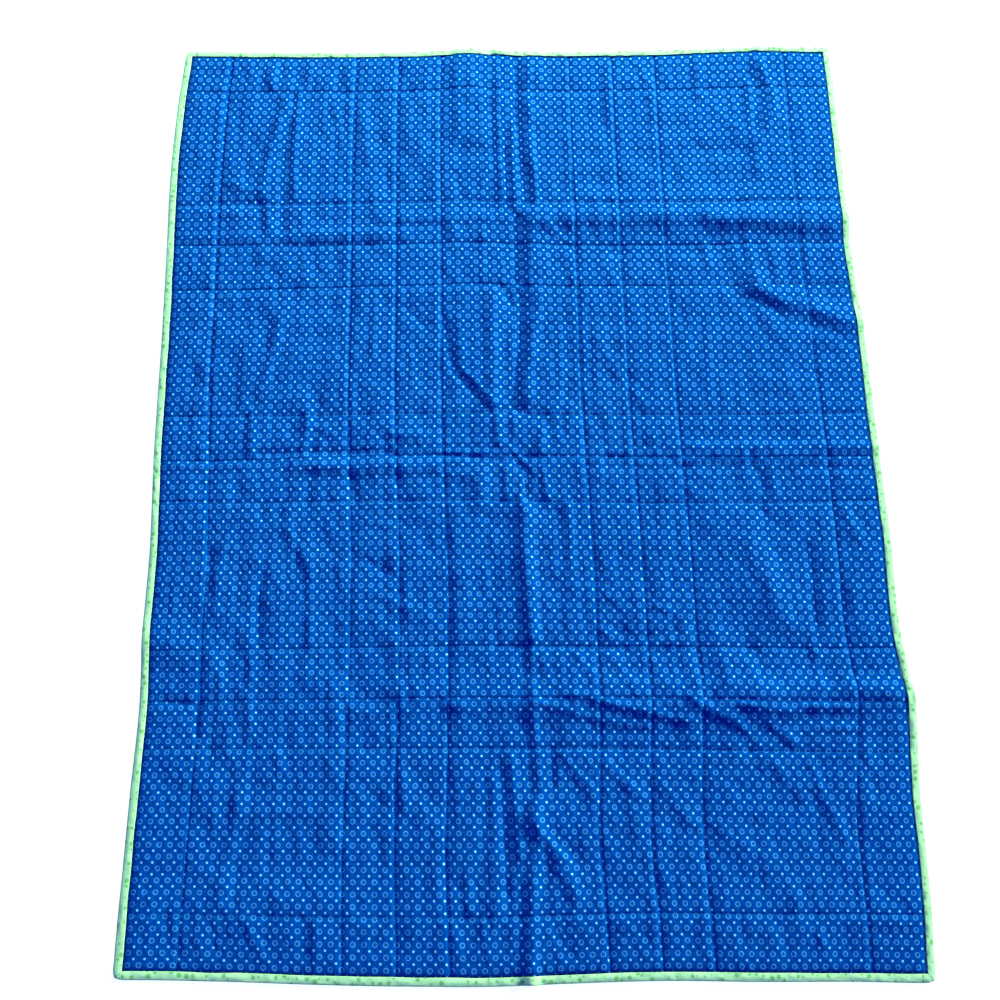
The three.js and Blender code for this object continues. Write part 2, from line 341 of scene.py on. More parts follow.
HEAD_RIGHT_CREASES = (
    crease(2, 7, (96, 572), (96, 395)),
    crease(1.4, 9, (60, 575), (61, 515)),
    crease(1.6, 10, (110, 445), (108, 395)),
    crease(-2, 9, (141, 600), (142, 560), (144, 500), (147, 465)),
    crease(2.6, 8, (194, 630), (205, 583)),
    crease(-1.3, 7, (182, 632), (190, 600)),
    crease(3.6, 9, (283, 640), (285, 558)),
    crease(-1.1, 7, (269, 640), (270, 560)),
    crease(-2.6, 26, (282, 468), (345, 462)),
    crease(2.4, 8, (392, 572), (394, 535), (380, 500), (364, 478)),
    crease(1.3, 10, (292, 561), (305, 539), (323, 512), (337, 497)),
    crease(-1.4, 6, (347, 575), (347, 505)),
    crease(3, 8, (357, 572), (357, 500), (359, 430)),
    crease(4.2, 11, (374, 640), (378, 600), (388, 562), (390, 530), (378, 500)),
    crease(-2.2, 9, (358, 640), (361, 600), (368, 565), (371, 535), (366, 508)),
    crease(1.4, 8, (366, 489), (366, 405)),
    crease(1.2, 9, (228, 546), (230, 482), (249, 444), (253, 421), (246, 398)),
    crease(2.2, 8, (213, 560), (214, 512), (213, 470)),
    crease(1.1, 9, (331, 565), (338, 510)),
    crease(1.1, 9, (430, 545), (436, 480)),
    crease(1.2, 9, (424, 430), (432, 395)),
)

MIDDLE_CREASES = (
    crease(1.8, 9, (-5, 168), (-5, 134)),
    crease(-3, 8, (-96, 213), (-86, 160), (-78, 125), (-56, 98), (-36, 73)),
    crease(2.2, 9, (-76, 205), (-68, 130), (-45, 102), (-24, 74)),
    crease(1.2, 14, (-71, 165), (-46, 112)),
    crease(1.6, 7, (-18, 305), (-6, 265)),
    crease(2, 7, (-38, 310), (-37, 258)),
    crease(2.3, 10, (-320, 206), (-327, 149), (-345, 98)),
    crease(1.4, 8, (-291, 308), (-284, 260)),
    crease(1.6, 9, (-352, 326), (-349, 298)),
    crease(-1.4, 8, (-338, 296), (-334, 268)),
    crease(1, 8, (-361, 240), (-358, 200)),
    crease(-1.2, 9, (-225, 300), (-225, 270)),
    crease(-1.5, 7, (-164, 300), (-164, 258)),
    crease(1.5, 7, (-191, 242), (-190, 155)),
    crease(-1.3, 7, (-178, 240), (-178, 155)),
    crease(-1.9, 7, (-148, 222), (-119, 192)),
    crease(1.3, 8, (-213, 158), (-206, 112)),
    crease(1.2, 8, (-137, 150), (-134, 105)),
    crease(-1.3, 7, (-400, 118), (-394, 85)),
    crease(1.2, 8, (-366, 108), (-362, 75)),
    crease(-1.5, 7, (-273, 106), (-262, 80)),
    crease(1.3, 13, (48, 300), (56, 258)),
    crease(1.1, 13, (52, 245), (56, 205)),
    crease(1.4, 8, (40, 160), (52, 106)),
    crease(-1.2, 8, (71, 118), (71, 88)),
    crease(1.6, 8, (112, 175), (142, 122)),
    crease(-1.5, 7, (124, 122), (140, 106)),
    crease(-1.6, 7, (152, 126), (180, 98)),
    crease(1.2, 8, (160, 98), (176, 76)),
    crease(-1.3, 7, (194, 122), (206, 104)),
    crease(1.3, 11, (264, 172), (264, 81)),
    crease(1.3, 8, (300, 128), (306, 82)),
    crease(-1.8, 7, (317, 150), (317, 80)),
    crease(1.2, 9, (370, 150), (376, 96)),
    crease(3, 18, (335, 250), (380, 228), (420, 212), (482, 188)),
    crease(2.4, 7, (274, 317), (278, 282)),
    crease(2.8, 9, (338, 330), (342, 264)),
    crease(2.6, 8, (366, 318), (373, 264)),
    crease(-2, 7, (328, 310), (330, 284)),
    crease(1.8, 9, (291, 248), (319, 206)),
    crease(-1.6, 12, (328, 238), (361, 222), (385, 198), (410, 192), (441, 181), (466, 162)),
    crease(1.7, 9, (350, 212), (362, 185), (378, 155)),
    crease(-1.5, 7, (330, 222), (350, 168)),
    crease(-1.5, 8, (405, 164), (405, 126)),
    crease(1.2, 9, (96, 240), (96, 81)),
)

MIDDLE_FOLD_CREASES = (
    crease(-3.4, 10, (-340, 14), (-274, 13), (-221, 11), (-162, 9)),
    crease(-2.4, 7, (-162, 9), (-112, 7), (-60, 3), (-14, -2)),
    crease(2.4, 11, (-351, 70), (-350, 12)),
    crease(3.3, 10, (-277, 72), (-277, 47), (-279, 10)),
    crease(-1.5, 8, (-295, 55), (-295, 30)),
    crease(1.8, 9, (-273, 54), (-238, 34)),
    crease(2.4, 9, (-160, 36), (-124, 33)),
    crease(1.2, 9, (-205, 39), (-190, 38)),
    crease(1.2, 7, (-468, 44), (-430, 43)),
    crease(1.3, 7, (-455, 29), (-405, 25)),
    crease(1.6, 8, (-460, -2), (-400, -2), (-350, -3)),
    crease(1.4, 9, (-268, -8), (-225, -9)),
    crease(3.6, 9, (-21, 60), (-19, 22)),
    crease(3, 8, (1, 62), (2, 28)),
    crease(2.4, 8, (36, 42), (37, 8)),
    crease(-2.6, 6, (0, 0), (14, -13), (24, -26)),
    crease(1.8, 6, (-8, 20), (8, 5), (24, -11)),
    crease(2.6, 6, (40, -10), (44, -52)),
    crease(-2.2, 6, (17, -30), (16, -56)),
    crease(-1.8, 5, (-150, 18), (-60, 16), (-14, 14)),
    crease(2.8, 7, (-9, -12), (-10, -56)),
    crease(2.4, 6, (9, -26), (8, -58)),
    crease(-1.5, 8, (-10, 66), (15, 66)),
    crease(-2, 9, (50, 52), (50, 20)),
    crease(0.8, 9, (240, 17), (284, 17), (343, 17), (396, 22), (455, 16)),
    crease(1.7, 11, (222, 6), (398, 6)),
    crease(1.2, 10, (222, 1), (470, 3)),
    crease(1.5, 8, (112, 12), (150, 12)),
    crease(-1.3, 7, (100, 21), (195, 21)),
    crease(1.2, 11, (186, 40), (186, 15)),
    crease(-1.4, 7, (92, -9), (200, -9), (292, -8)),
    crease(-2, 8, (375, -11), (476, -11)),
    crease(-2, 9, (312, 14), (317, -10), (328, -40)),
    crease(1.6, 8, (205, -6), (216, -24)),
    crease(1.5, 8, (222, -30), (246, -52)),
    crease(-1.5, 12, (36, -70), (52, -70)),
    crease(1.5, 8, (-96, -22), (-60, -24)),
    crease(-1.7, 9, (275, -12), (272, -45)),
    crease(2.4, 9, (335, -2), (339, -42)),
)

LOW_LEFT_CREASES = (
    crease(1.2, 12, (-44, -81), (-46, -149)),
    crease(-2, 9, (-400, -120), (-399, -172)),
    crease(1.2, 7, (-391, -62), (-390, -89)),
    crease(1.9, 9, (-366, -72), (-380, -110), (-388, -150), (-387, -205)),
    crease(-2, 8, (-331, -58), (-331, -150), (-331, -244)),
    crease(1.8, 11, (-308, -80), (-284, -116), (-261, -152), lean=0.4),
    crease(1.7, 9, (-268, -152), (-268, -240)),
    crease(1.7, 7, (-249, -60), (-236, -118)),
    crease(1.3, 9, (-300, -60), (-296, -92)),
    crease(-2.6, 11, (-212, -25), (-208, -48)),
    crease(-2.2, 10, (-159, -18), (-150, -38)),
    crease(1.7, 9, (-196, -84), (-150, -92)),
    crease(1.4, 8, (-132, -79), (-95, -84)),
    crease(-2, 11, (-196, -136), (-158, -160)),
    crease(1.7, 9, (-192, -174), (-156, -192), (-138, -205)),
    crease(1.3, 9, (-232, -145), (-217, -190)),
    crease(1.2, 9, (-440, -140), (-438, -200)),
    crease(2, 13, (-342, -238), (-341, -286)),
    crease(-1.6, 8, (-372, -262), (-368, -300)),
    crease(1.4, 8, (-314, -252), (-310, -285)),
    crease(1.3, 8, (-272, -258), (-270, -295)),
    crease(-1.2, 10, (-431, -255), (-431, -280)),
    crease(-2, 10, (-455, -312), (-405, -316)),
    crease(-1.8, 8, (-407, -320), (-406, -355)),
    crease(1.4, 7, (-205, -329), (-130, -329)),
    crease(-2, 9, (-103, -316), (-103, -358)),
    crease(1.6, 9, (-92, -322), (-58, -330)),
    crease(-1.6, 8, (-222, -316), (-222, -358)),
    crease(1.6, 10, (-135, -258), (-140, -292)),
)

LOW_RIGHT_CREASES = (
    crease(3, 10, (71, -62), (73, -150)),
    crease(-1.2, 8, (60, -75), (60, -142)),
    crease(-1.6, 10, (319, -66), (347, -96)),
    crease(1.3, 10, (350, -150), (362, -196)),
    crease(-3.2, 11, (374, -119), (378, -160), (378, -217)),
    crease(-2, 8, (413, -172), (413, -202), (392, -248)),
    crease(1.6, 8, (425, -68), (452, -132)),
    crease(-1.3, 7, (440, -68), (458, -108)),
    crease(1, 9, (397, -73), (397, -172)),
    crease(-1.9, 11, (113, -218), (148, -240), (204, -226)),
    crease(1.6, 7, (172, -196), (210, -210)),
    crease(1.5, 11, (117, -180), (145, -206)),
    crease(1.4, 8, (96, -220), (120, -238)),
    crease(-1.5, 9, (70, -253), (220, -253)),
    crease(1.6, 9, (30, -258), (34, -292)),
    crease(1.8, 9, (72, -256), (92, -290)),
    crease(1.6, 11, (112, -262), (135, -290)),
    crease(1.8, 9, (164, -260), (178, -292)),
    crease(1.3, 8, (196, -256), (214, -288)),
    crease(2.2, 7, (254, -254), (255, -296)),
    crease(1.8, 10, (282, -266), (292, -294)),
    crease(-1.4, 7, (296, -252), (302, -275)),
    crease(2.6, 10, (370, -252), (369, -300)),
    # slanting teeth along the near edge of the lower fold, and the hollow below it
    crease(3, 36, (70, -293), (345, -291)),
    crease(2.4, 9, (20, -318), (60, -330), (100, -340), (150, -348)),
    crease(3, 10, (60, -310), (100, -317), (150, -331), (205, -342), lean=-0.2),
    crease(3.4, 11, (205, -310), (225, -325), (250, -337), (272, -356), lean=-0.2),
    crease(3.4, 8, (266, -320), (300, -325), (336, -328)),
    crease(3, 8, (298, -338), (312, -350), (328, -366)),
    crease(3.2, 8, (340, -322), (402, -323)),
    crease(2.6, 7.5, (362, -345), (404, -347)),
    crease(4.4, 25, (408, -298), (482, -298)),
    crease(-0.7, 15, (20, -368), (150, -378), (300, -376), (470, -358)),
)

FOOT_LEFT_CREASES = (
    crease(2.8, 7, (-17, -380), (-16, -450), (-16, -500)),
    crease(-1.8, 7, (-31, -383), (-31, -440), (-29, -500), (-28, -540)),
    crease(2, 8, (-44, -405), (-43, -480)),
    crease(-1.5, 8, (-50, -399), (-46, -430)),
    crease(1.5, 9, (-23, -524), (-23, -555)),
    crease(2, 8, (-60, -570), (-56, -620)),
    crease(-1.2, 13, (-85, -532), (-85, -562)),
    crease(-1, 12, (-75, -589), (-75, -592)),
    crease(1.2, 9, (-352, -395), (-355, -456), (-363, -502), (-366, -551)),
    crease(-1.3, 9, (-338, -398), (-339, -456), (-345, -502), (-349, -551)),
    crease(1.4, 20, (-330, -446), (-240, -446)),
    crease(1.6, 8, (-366, -374), (-358, -398)),
    crease(1.5, 8, (-308, -374), (-300, -400)),
    crease(1.5, 8, (-242, -384), (-236, -404)),
    crease(2, 11, (-342, -308), (-340, -358)),
    crease(1, 14, (-148, -305), (-148, -323)),
    crease(-1.6, 9, (-205, -412), (-163, -448)),
    crease(1.5, 11, (-152, -405), (-150, -445)),
    crease(1.2, 11, (-196, -384), (-190, -402)),
    crease(-1, 13, (-120, -411), (-120, -433)),
    crease(1.5, 12, (-470, -597), (-450, -607)),
    crease(1.2, 10, (-470, -545), (-446, -552)),
    crease(-1, 15, (-445, -520), (-441, -520)),
    crease(1.4, 8, (-393, -552), (-388, -608)),
    crease(-1.6, 8, (-428, -572), (-424, -605)),
    crease(-1.3, 8, (-377, -572), (-372, -604)),
    crease(1.9, 10, (-340, -568), (-314, -612)),
    crease(1.2, 9, (-306, -520), (-302, -550)),
    crease(2.2, 9, (-257, -570), (-253, -620)),
    crease(-1.8, 8, (-273, -568), (-268, -618)),
    crease(1.2, 9, (-198, -575), (-195, -612)),
)

FOOT_RIGHT_CREASES = (
    crease(-1.4, 12, (48, -492), (71, -517), (75, -536)),
    crease(-0.8, 8, (19, -512), (33, -547), (35, -577), (47, -615)),
    crease(2.4, 10, (8, -464), (26, -484), (46, -506), lean=0.2),
    crease(1.5, 12, (-8, -450), (-14, -520)),
    crease(1.8, 9, (14, -572), (30, -618)),
    crease(1, 9, (45, -560), (64, -592)),
    crease(-2, 8, (31, -378), (33, -418)),
    crease(1.9, 8, (44, -378), (82, -430), lean=0.4),
    crease(1.2, 8, (91, -440), (89, -486)),
    crease(2.4, 9, (97, -386), (140, -432), lean=0.4),
    crease(-1.4, 8, (148, -395), (148, -418)),
    crease(1.9, 9, (146, -392), (165, -418), (182, -445), (206, -468), lean=0.55),
    crease(1.2, 8, (148, -460), (182, -500), lean=0.4),
    crease(1.3, 9, (148, -500), (160, -540)),
    crease(1.4, 11, (220, -460), (248, -480), (278, -496), lean=0.3),
    crease(-0.8, 9, (232, -425), (262, -455), (296, -480)),
    crease(1.5, 10, (228, -384), (262, -412)),
    crease(-1.8, 8, (276, -372), (282, -402)),
    crease(1.8, 8, (300, -384), (328, -420), lean=0.4),
    crease(2.5, 8, (346, -384), (362, -428), (384, -482), lean=0.4),
    crease(-1.7, 9, (345, -425), (364, -470)),
    crease(-1, 9, (291, -437), (344, -441)),
    crease(-1.8, 8, (412, -384), (425, -425)),
    crease(-1, 7, (392, -470), (392, -520)),
    crease(1.2, 20, (434, -447), (466, -447)),
    crease(0.9, 10, (300, -506), (318, -552)),
    crease(-1.3, 13, (420, -532), (448, -562)),
    crease(-1.2, 13, (413, -585), (448, -585)),
    crease(1.7, 9, (106, -574), (132, -612)),
    crease(1.7, 10, (336, -572), (350, -612)),
    crease(-1.4, 8, (288, -572), (298, -602)),
    crease(-1, 9, (302, -605), (302, -620)),
    crease(-1, 8, (253, -585), (253, -604)),
)

# Wide, round swells in the printed back
SWELLS = (
    crease(3, 40, (50, 354), (200, 354), (300, 352), (480, 350), lean=-0.3),
    crease(2, 25, (70, 389), (200, 390), (300, 389), (480, 388)),
    crease(3.4, 46, (272, -90), (298, -145), (330, -205)),
    crease(1.5, 52, (-470, -562), (470, -562)),
)

CREASES = (
    VALLEY_CREASES
    + HEAD_LEFT_CREASES
    + UPPER_FOLD_CREASES
    + HEAD_RIGHT_CREASES
    + MIDDLE_CREASES
    + MIDDLE_FOLD_CREASES
    + LOW_LEFT_CREASES
    + LOW_RIGHT_CREASES
    + FOOT_LEFT_CREASES
    + FOOT_RIGHT_CREASES
)


def smooth_step(low: float, high: float, place: Array) -> Array:
    """Share from 0 at low to 1 at high, with level ends."""
    share = np.clip((place - low) / (high - low), 0, 1)
    return share * share * (3 - 2 * share)


def along_table(rows: tuple[DriftRow, ...], place: Array, column: str) -> Array:
    """Smooth curve through one column of a table.

    Args:
        rows: the table, in order of place.
        place: where the curve is read.
        column: the column's name.

    Returns:
        The column's values at those places.
    """
    at = np.array([row.at for row in rows], float)
    value = np.array([getattr(row, column) for row in rows], float)
    last = len(rows) - 1
    after = np.clip(np.searchsorted(at, place, side="right"), 1, last)
    share = np.clip((place - at[after - 1]) / (at[after] - at[after - 1]), 0, 1)
    start_slope = (value[after] - value[np.maximum(after - 2, 0)]) / 2
    end_slope = (value[np.minimum(after + 1, last)] - value[after - 1]) / 2
    square = share * share
    cube = square * share
    return (
        value[after - 1] * (2 * cube - 3 * square + 1)
        + start_slope * (cube - 2 * square + share)
        + value[after] * (3 * square - 2 * cube)
        + end_slope * (cube - square)
    )


def drift(rows: tuple[DriftRow, ...], place: Array, share: Array) -> Array:
    """Drift at a place, blended from a table's two sides and middle.

    Args:
        rows: the table.
        place: where along the table.
        share: how far to the low side, -1, or the high side, 1.

    Returns:
        The drift there.
    """
    low = along_table(rows, place, "low") * share * (share - 1) / 2
    high = along_table(rows, place, "high") * share * (share + 1) / 2
    return low + high + along_table(rows, place, "middle") * (1 - share * share)


def fold_height(folds: tuple[Fold, ...], s: Array, t: Array, roundness: float) -> Array:
    """Height that folds give to points of the cloth.

    Args:
        folds: the ridges and troughs, which are summed.
        s: places across.
        t: places along.
        roundness: 1 for round crests, less for sharper ones.

    Returns:
        The height at each point.
    """
    height = np.zeros(np.shape(s))
    for fold in folds:
        points = np.array(fold.path, float)
        widest = fold.reach * (1 + abs(fold.lean))
        low = points.min(0) - widest
        high = points.max(0) + widest
        near = (s > low[0]) & (s < high[0]) & (t > low[1]) & (t < high[1])
        spot = np.stack([s[near], t[near]], axis=1)
        share = np.ones(len(spot))
        for start, end in zip(points[:-1], points[1:]):
            run = end - start
            along = np.clip((spot - start) @ run / (run @ run), 0, 1)
            away = spot - start - along[:, None] * run
            gap = np.linalg.norm(away, axis=1) + TINY
            rightward = (away[:, 0] * run[1] - away[:, 1] * run[0]) / (gap * np.linalg.norm(run))
            share = np.minimum(share, gap / (fold.reach * (1 + fold.lean * rightward)))
        height[near] += fold.rise * (1 - share) ** 2 * (1 + 2 * roundness * share)
    return height


class SoftNoise:
    """Smooth unevenness from -1 to 1, the same on each run."""

    LATTICE = 512

    def __init__(self, seed: int, pitch_s: float, pitch_t: float) -> None:
        """Draws the lattice of one unevenness, with its own pitch across and along."""
        self.values = np.random.default_rng(seed).uniform(-1, 1, (self.LATTICE, self.LATTICE))
        self.pitch = (pitch_s, pitch_t)

    def at(self, s: Array, t: Array) -> Array:
        """The unevenness at points of the cloth.

        Args:
            s: places across.
            t: places along.

        Returns:
            The unevenness at each point.
        """
        middle = self.LATTICE // 2
        across = s / self.pitch[0] + middle
        along = t / self.pitch[1] + middle
        column = np.floor(across).astype(int)
        row = np.floor(along).astype(int)
        right = smooth_step(0, 1, across - column)
        up = smooth_step(0, 1, along - row)
        column %= self.LATTICE - 1
        row %= self.LATTICE - 1
        lower = self.values[row, column] * (1 - right) + self.values[row, column + 1] * right
        upper = self.values[row + 1, column] * (1 - right) + self.values[row + 1, column + 1] * right
        return lower * (1 - up) + upper * up


class Cloth:
    """How the quilt's cloth lies: its outline, its folds and its sewn puffs."""

    # Reaches and heights in millimetres, and shares
    WANDER_FADE = 40.0
    WOBBLE = 2.2
    CREASE_CHANGE = 0.3
    CREASE_ROUND = 0.35
    BROAD_SWELL = 0.7
    SMALL_SWELL = 0.9
    RIPPLE = 0.8
    CRUMPLE = 1.0
    CALM_EDGE = 50.0
    CREASE_EDGE = 34.0
    CREASE_LEFT = 0.35
    THREAD_CHANGE = 0.3
    LEFT_SLACK = 0.45
    SLACK_ACROSS = (50.0, -300.0)
    SLACK_ALONG = (320.0, -450.0)
    CROSSWISE_DRAW = 0.58
    LIP = 0.8
    LIP_AWAY = 3.6
    LIP_LEFT = 8.0
    LIP_RIGHT = 2.4
    LIP_MORE = 0.6
    LIP_MORE_ALONG = (-100.0, 300.0)
    LOFT_CHANGE = 0.1
    PUCKER = 0.3
    PUCKER_REACH = 12.0
    SETTLE = 0.4
    TONGUE_SLOPE = 0.7
    TONGUE_SPARE = 0.01
    OUTLINE_POINTS = 801

    def __init__(self, sizes: QuiltSizes) -> None:
        """Prepares the lines of sewing and the unevenness, and finds the outline's middle.

        Args:
            sizes: the quilt's driving sizes.
        """
        self.sizes = sizes
        seam_s = sizes.half_width - sizes.tongue_root
        seam_t = sizes.half_length - sizes.tongue_root
        self.lines_s = np.array(LENGTHWISE_LINES) * sizes.patch
        self.lines_t = np.array(CROSSWISE_LINES) * sizes.patch
        self.furrows_s = np.array([-seam_s, *self.lines_s, seam_s])
        self.furrows_t = np.array([-seam_t, *self.lines_t, seam_t])
        # each unevenness has its seed, its pitch across and its pitch along
        self.wobble_s = SoftNoise(11, 38, 38)
        self.wobble_t = SoftNoise(12, 38, 38)
        self.crease_change = SoftNoise(13, 30, 30)
        self.broad_swell = SoftNoise(14, 62, 70)
        self.small_swell = SoftNoise(15, 26, 30)
        self.loft_change = SoftNoise(16, 45, 45)
        self.ripple = SoftNoise(19, 9.5, 60)
        self.ripple_change = SoftNoise(20, 75, 75)
        self.crumple = SoftNoise(21, 13, 22)
        self.pull_along = SoftNoise(22, 40, 80)
        self.pull_across = SoftNoise(23, 80, 40)
        self.pucker_along = SoftNoise(17, 26, 9)
        self.pucker_across = SoftNoise(18, 9, 26)
        self.middle = np.zeros(2)
        self.middle = self._outline_middle()

    def _outline_middle(self) -> Array:
        """Middle of the outline's box before the outline is centred on the solids' box.

        Returns:
            How far it is from the middle of the solids' box, in metres.
        """
        half_width, half_length = self.sizes.half_width, self.sizes.half_length
        share = np.linspace(-1, 1, self.OUTLINE_POINTS)
        edge = np.ones_like(share)
        s = np.concatenate([share, share, edge, -edge]) * half_width
        t = np.concatenate([edge, -edge, share, share]) * half_length
        x, y = self.laid(s, t)
        own = np.array([x.min() + x.max(), y.min() + y.max()]) / 2
        solid = np.array((CAD_BOX[0] + CAD_BOX[1]) / 2)[:2]
        return own - solid

    def sewn_place(self, u: Array, v: Array) -> tuple[Array, Array]:
        """Cloth points of the sewing's own grid, whose lines wander over the print.

        Args:
            u: places across, with the lengthwise lines straight.
            v: places along, with the crosswise lines straight.

        Returns:
            The cloth's s and t.
        """
        sizes = self.sizes
        room_s = sizes.half_width - sizes.rim - np.abs(u)
        room_t = sizes.half_length - sizes.rim - np.abs(v)
        share = u / sizes.half_width
        across = smooth_step(0, self.WANDER_FADE, room_s) * drift(LENGTHWISE_WANDER, v, share)
        along = smooth_step(0, self.WANDER_FADE, room_t) * drift(CROSSWISE_WANDER, v, share)
        return u + across, v + along

    def laid(self, s: Array, t: Array) -> tuple[Array, Array]:
        """Where points of the cloth lie on the surface, in metres.

        Args:
            s: places across.
            t: places along.

        Returns:
            The scene's x and y, in metres.
        """
        sizes = self.sizes
        across_share = np.clip(1 - (sizes.half_width - np.abs(s)) / sizes.corner_reach, 0, None)
        along_share = np.clip(1 - (sizes.half_length - np.abs(t)) / sizes.corner_reach, 0, None)
        pull = sizes.corner_pull * (across_share * along_share) ** 2
        x = s + drift(SIDEWAYS_DRIFT, t, s / sizes.half_width) - np.sign(s) * pull
        y = t + drift(LENGTHWISE_DRIFT, s, t / sizes.half_length) - np.sign(t) * pull
        return x * MM - self.middle[0], y * MM - self.middle[1]

    def depth(self, s: Array, t: Array) -> Array:
        """Depth of points inside the quilt's outer edge."""
        return np.minimum(self.sizes.half_width - np.abs(s), self.sizes.half_length - np.abs(t))

    def relief(self, s: Array, t: Array) -> Array:
        """Rise and fall of the cloth with its folds and creases. The rim moves as one.

        Args:
            s: places across.
            t: places along.

        Returns:
            The height in millimetres, which is under 0 in a trough.
        """
        sizes = self.sizes
        s = np.clip(s, sizes.rim - sizes.half_width, sizes.half_width - sizes.rim)
        t = np.clip(t, sizes.rim - sizes.half_length, sizes.half_length - sizes.rim)
        wobbled_s = s + self.WOBBLE * self.wobble_s.at(s, t)
        wobbled_t = t + self.WOBBLE * self.wobble_t.at(s, t)
        creases = fold_height(CREASES, wobbled_s, wobbled_t, self.CREASE_ROUND)
        depth = self.depth(s, t)
        inward = smooth_step(sizes.rim, self.CREASE_EDGE, depth)
        creases *= self.CREASE_LEFT + (1 - self.CREASE_LEFT) * inward
        fine = (
            self.SMALL_SWELL * self.small_swell.at(s, t)
            + self.RIPPLE * self.ripple.at(s, t) * (1 + self.ripple_change.at(s, t) / 2)
            + self.CRUMPLE * self.crumple.at(s, t)
        )
        return (
            fold_height(STORAGE_FOLDS + SWELLS, s, t, 1)
            + creases * (1 + self.CREASE_CHANGE * self.crease_change.at(s, t))
            + self.BROAD_SWELL * self.broad_swell.at(s, t)
            + fine * smooth_step(sizes.rim, self.CALM_EDGE, depth)
        )

    def lower_face(self, s: Array, t: Array) -> Array:
        """Height of the cloth's lower face: on the surface, or under a fold."""
        return np.clip(self.relief(s, t), 0, None)

    def swell(self, place: Array, lines: Array) -> Array:
        """How far a puff has risen beside the nearest line, from 0 to 1.

        Args:
            place: places in one direction on the sewing's grid.
            lines: the lines of sewing in that direction.

        Returns:
            The share of the full rise.
        """
        sizes = self.sizes
        distance = np.abs(place[..., None] - lines).min(-1)
        close = np.exp(-((distance / sizes.needle_reach) ** 2))
        wide = np.exp(-((distance / sizes.puff_reach) ** 2))
        return 1 - sizes.needle_share * close - sizes.puff_share * wide

    def slack(self, pull: SoftNoise, u: Array, v: Array) -> Array:
        """Share by which the sewing is slack: here and there, and towards the foot's left.

        Args:
            pull: how the thread's pull changes.
            u: places across on the sewing's grid.
            v: places along on the sewing's grid.

        Returns:
            The share, 0 where the thread is tight.
        """
        left = smooth_step(*self.SLACK_ACROSS, u)
        lower = smooth_step(*self.SLACK_ALONG, v)
        return self.THREAD_CHANGE * (1 + pull.at(u, v)) / 2 + self.LEFT_SLACK * left * lower

    def lip(self, u: Array, v: Array) -> Array:
        """Height of the low roll on the left of each lengthwise line, more towards the head.

        Args:
            u: places across on the sewing's grid.
            v: places along on the sewing's grid.

        Returns:
            The height in millimetres.
        """
        beside = u[..., None] - self.lines_s + self.LIP_AWAY
        share = beside / np.where(beside < 0, self.LIP_LEFT, self.LIP_RIGHT)
        more = self.LIP_MORE * smooth_step(*self.LIP_MORE_ALONG, v)
        return self.LIP * (1 + more) * np.exp(-(share**2)).max(-1)

    def pucker(self, u: Array, v: Array) -> Array:
        """Short ripples that the thread draws up beside the lines of sewing.

        Args:
            u: places across on the sewing's grid.
            v: places along on the sewing's grid.

        Returns:
            The height in millimetres.
        """
        gap_s = np.abs(u[..., None] - self.furrows_s).min(-1)
        gap_t = np.abs(v[..., None] - self.furrows_t).min(-1)
        along = self.pucker_along.at(u, v) * np.exp(-gap_s / self.PUCKER_REACH)
        across = self.pucker_across.at(u, v) * np.exp(-gap_t / self.PUCKER_REACH)
        return self.PUCKER * (along + across)

    def upper_face(self, u: Array, v: Array) -> Array:
        """Height of the panel's upper face.

        Args:
            u: places across on the sewing's grid.
            v: places along on the sewing's grid.

        Returns:
            The height in millimetres.
        """
        sizes = self.sizes
        s, t = self.sewn_place(u, v)
        relief = self.relief(s, t)
        under = np.clip(relief, 0, None)
        drawn_s = 1 - self.slack(self.pull_along, u, v)
        drawn_t = self.CROSSWISE_DRAW * (1 - self.slack(self.pull_across, u, v))
        across = 1 - (1 - self.swell(u, self.furrows_s)) * drawn_s
        along = 1 - (1 - self.swell(v, self.furrows_t)) * drawn_t
        puff = across * along
        loft = (sizes.loft - sizes.sewn) * (1 + self.LOFT_CHANGE * self.loft_change.at(s, t))
        depth = self.depth(s, t)
        dip = (sizes.sewn - sizes.seam) * np.exp(-(((depth - sizes.tongue_root) / sizes.seam_reach) ** 2))
        free = relief + sizes.sewn - dip + loft * puff + self.pucker(u, v) * puff
        free += self.lip(u, v) * along * drawn_s
        spare = (free - under - sizes.thinnest) / self.SETTLE
        upper = under + sizes.thinnest + self.SETTLE * np.logaddexp(0, spare)
        slope = smooth_step(sizes.tongue_root * self.TONGUE_SLOPE, sizes.tongue_root, depth)
        tongue = under + sizes.tongue_top + (sizes.seam - sizes.tongue_top) * slope
        return np.where(depth < sizes.tongue_root + self.TONGUE_SPARE, tongue, upper)


def fresh_start() -> None:
    """Deselects everything, so that an operator acts only on what is made next."""
    bpy.ops.object.select_all(action="DESELECT")


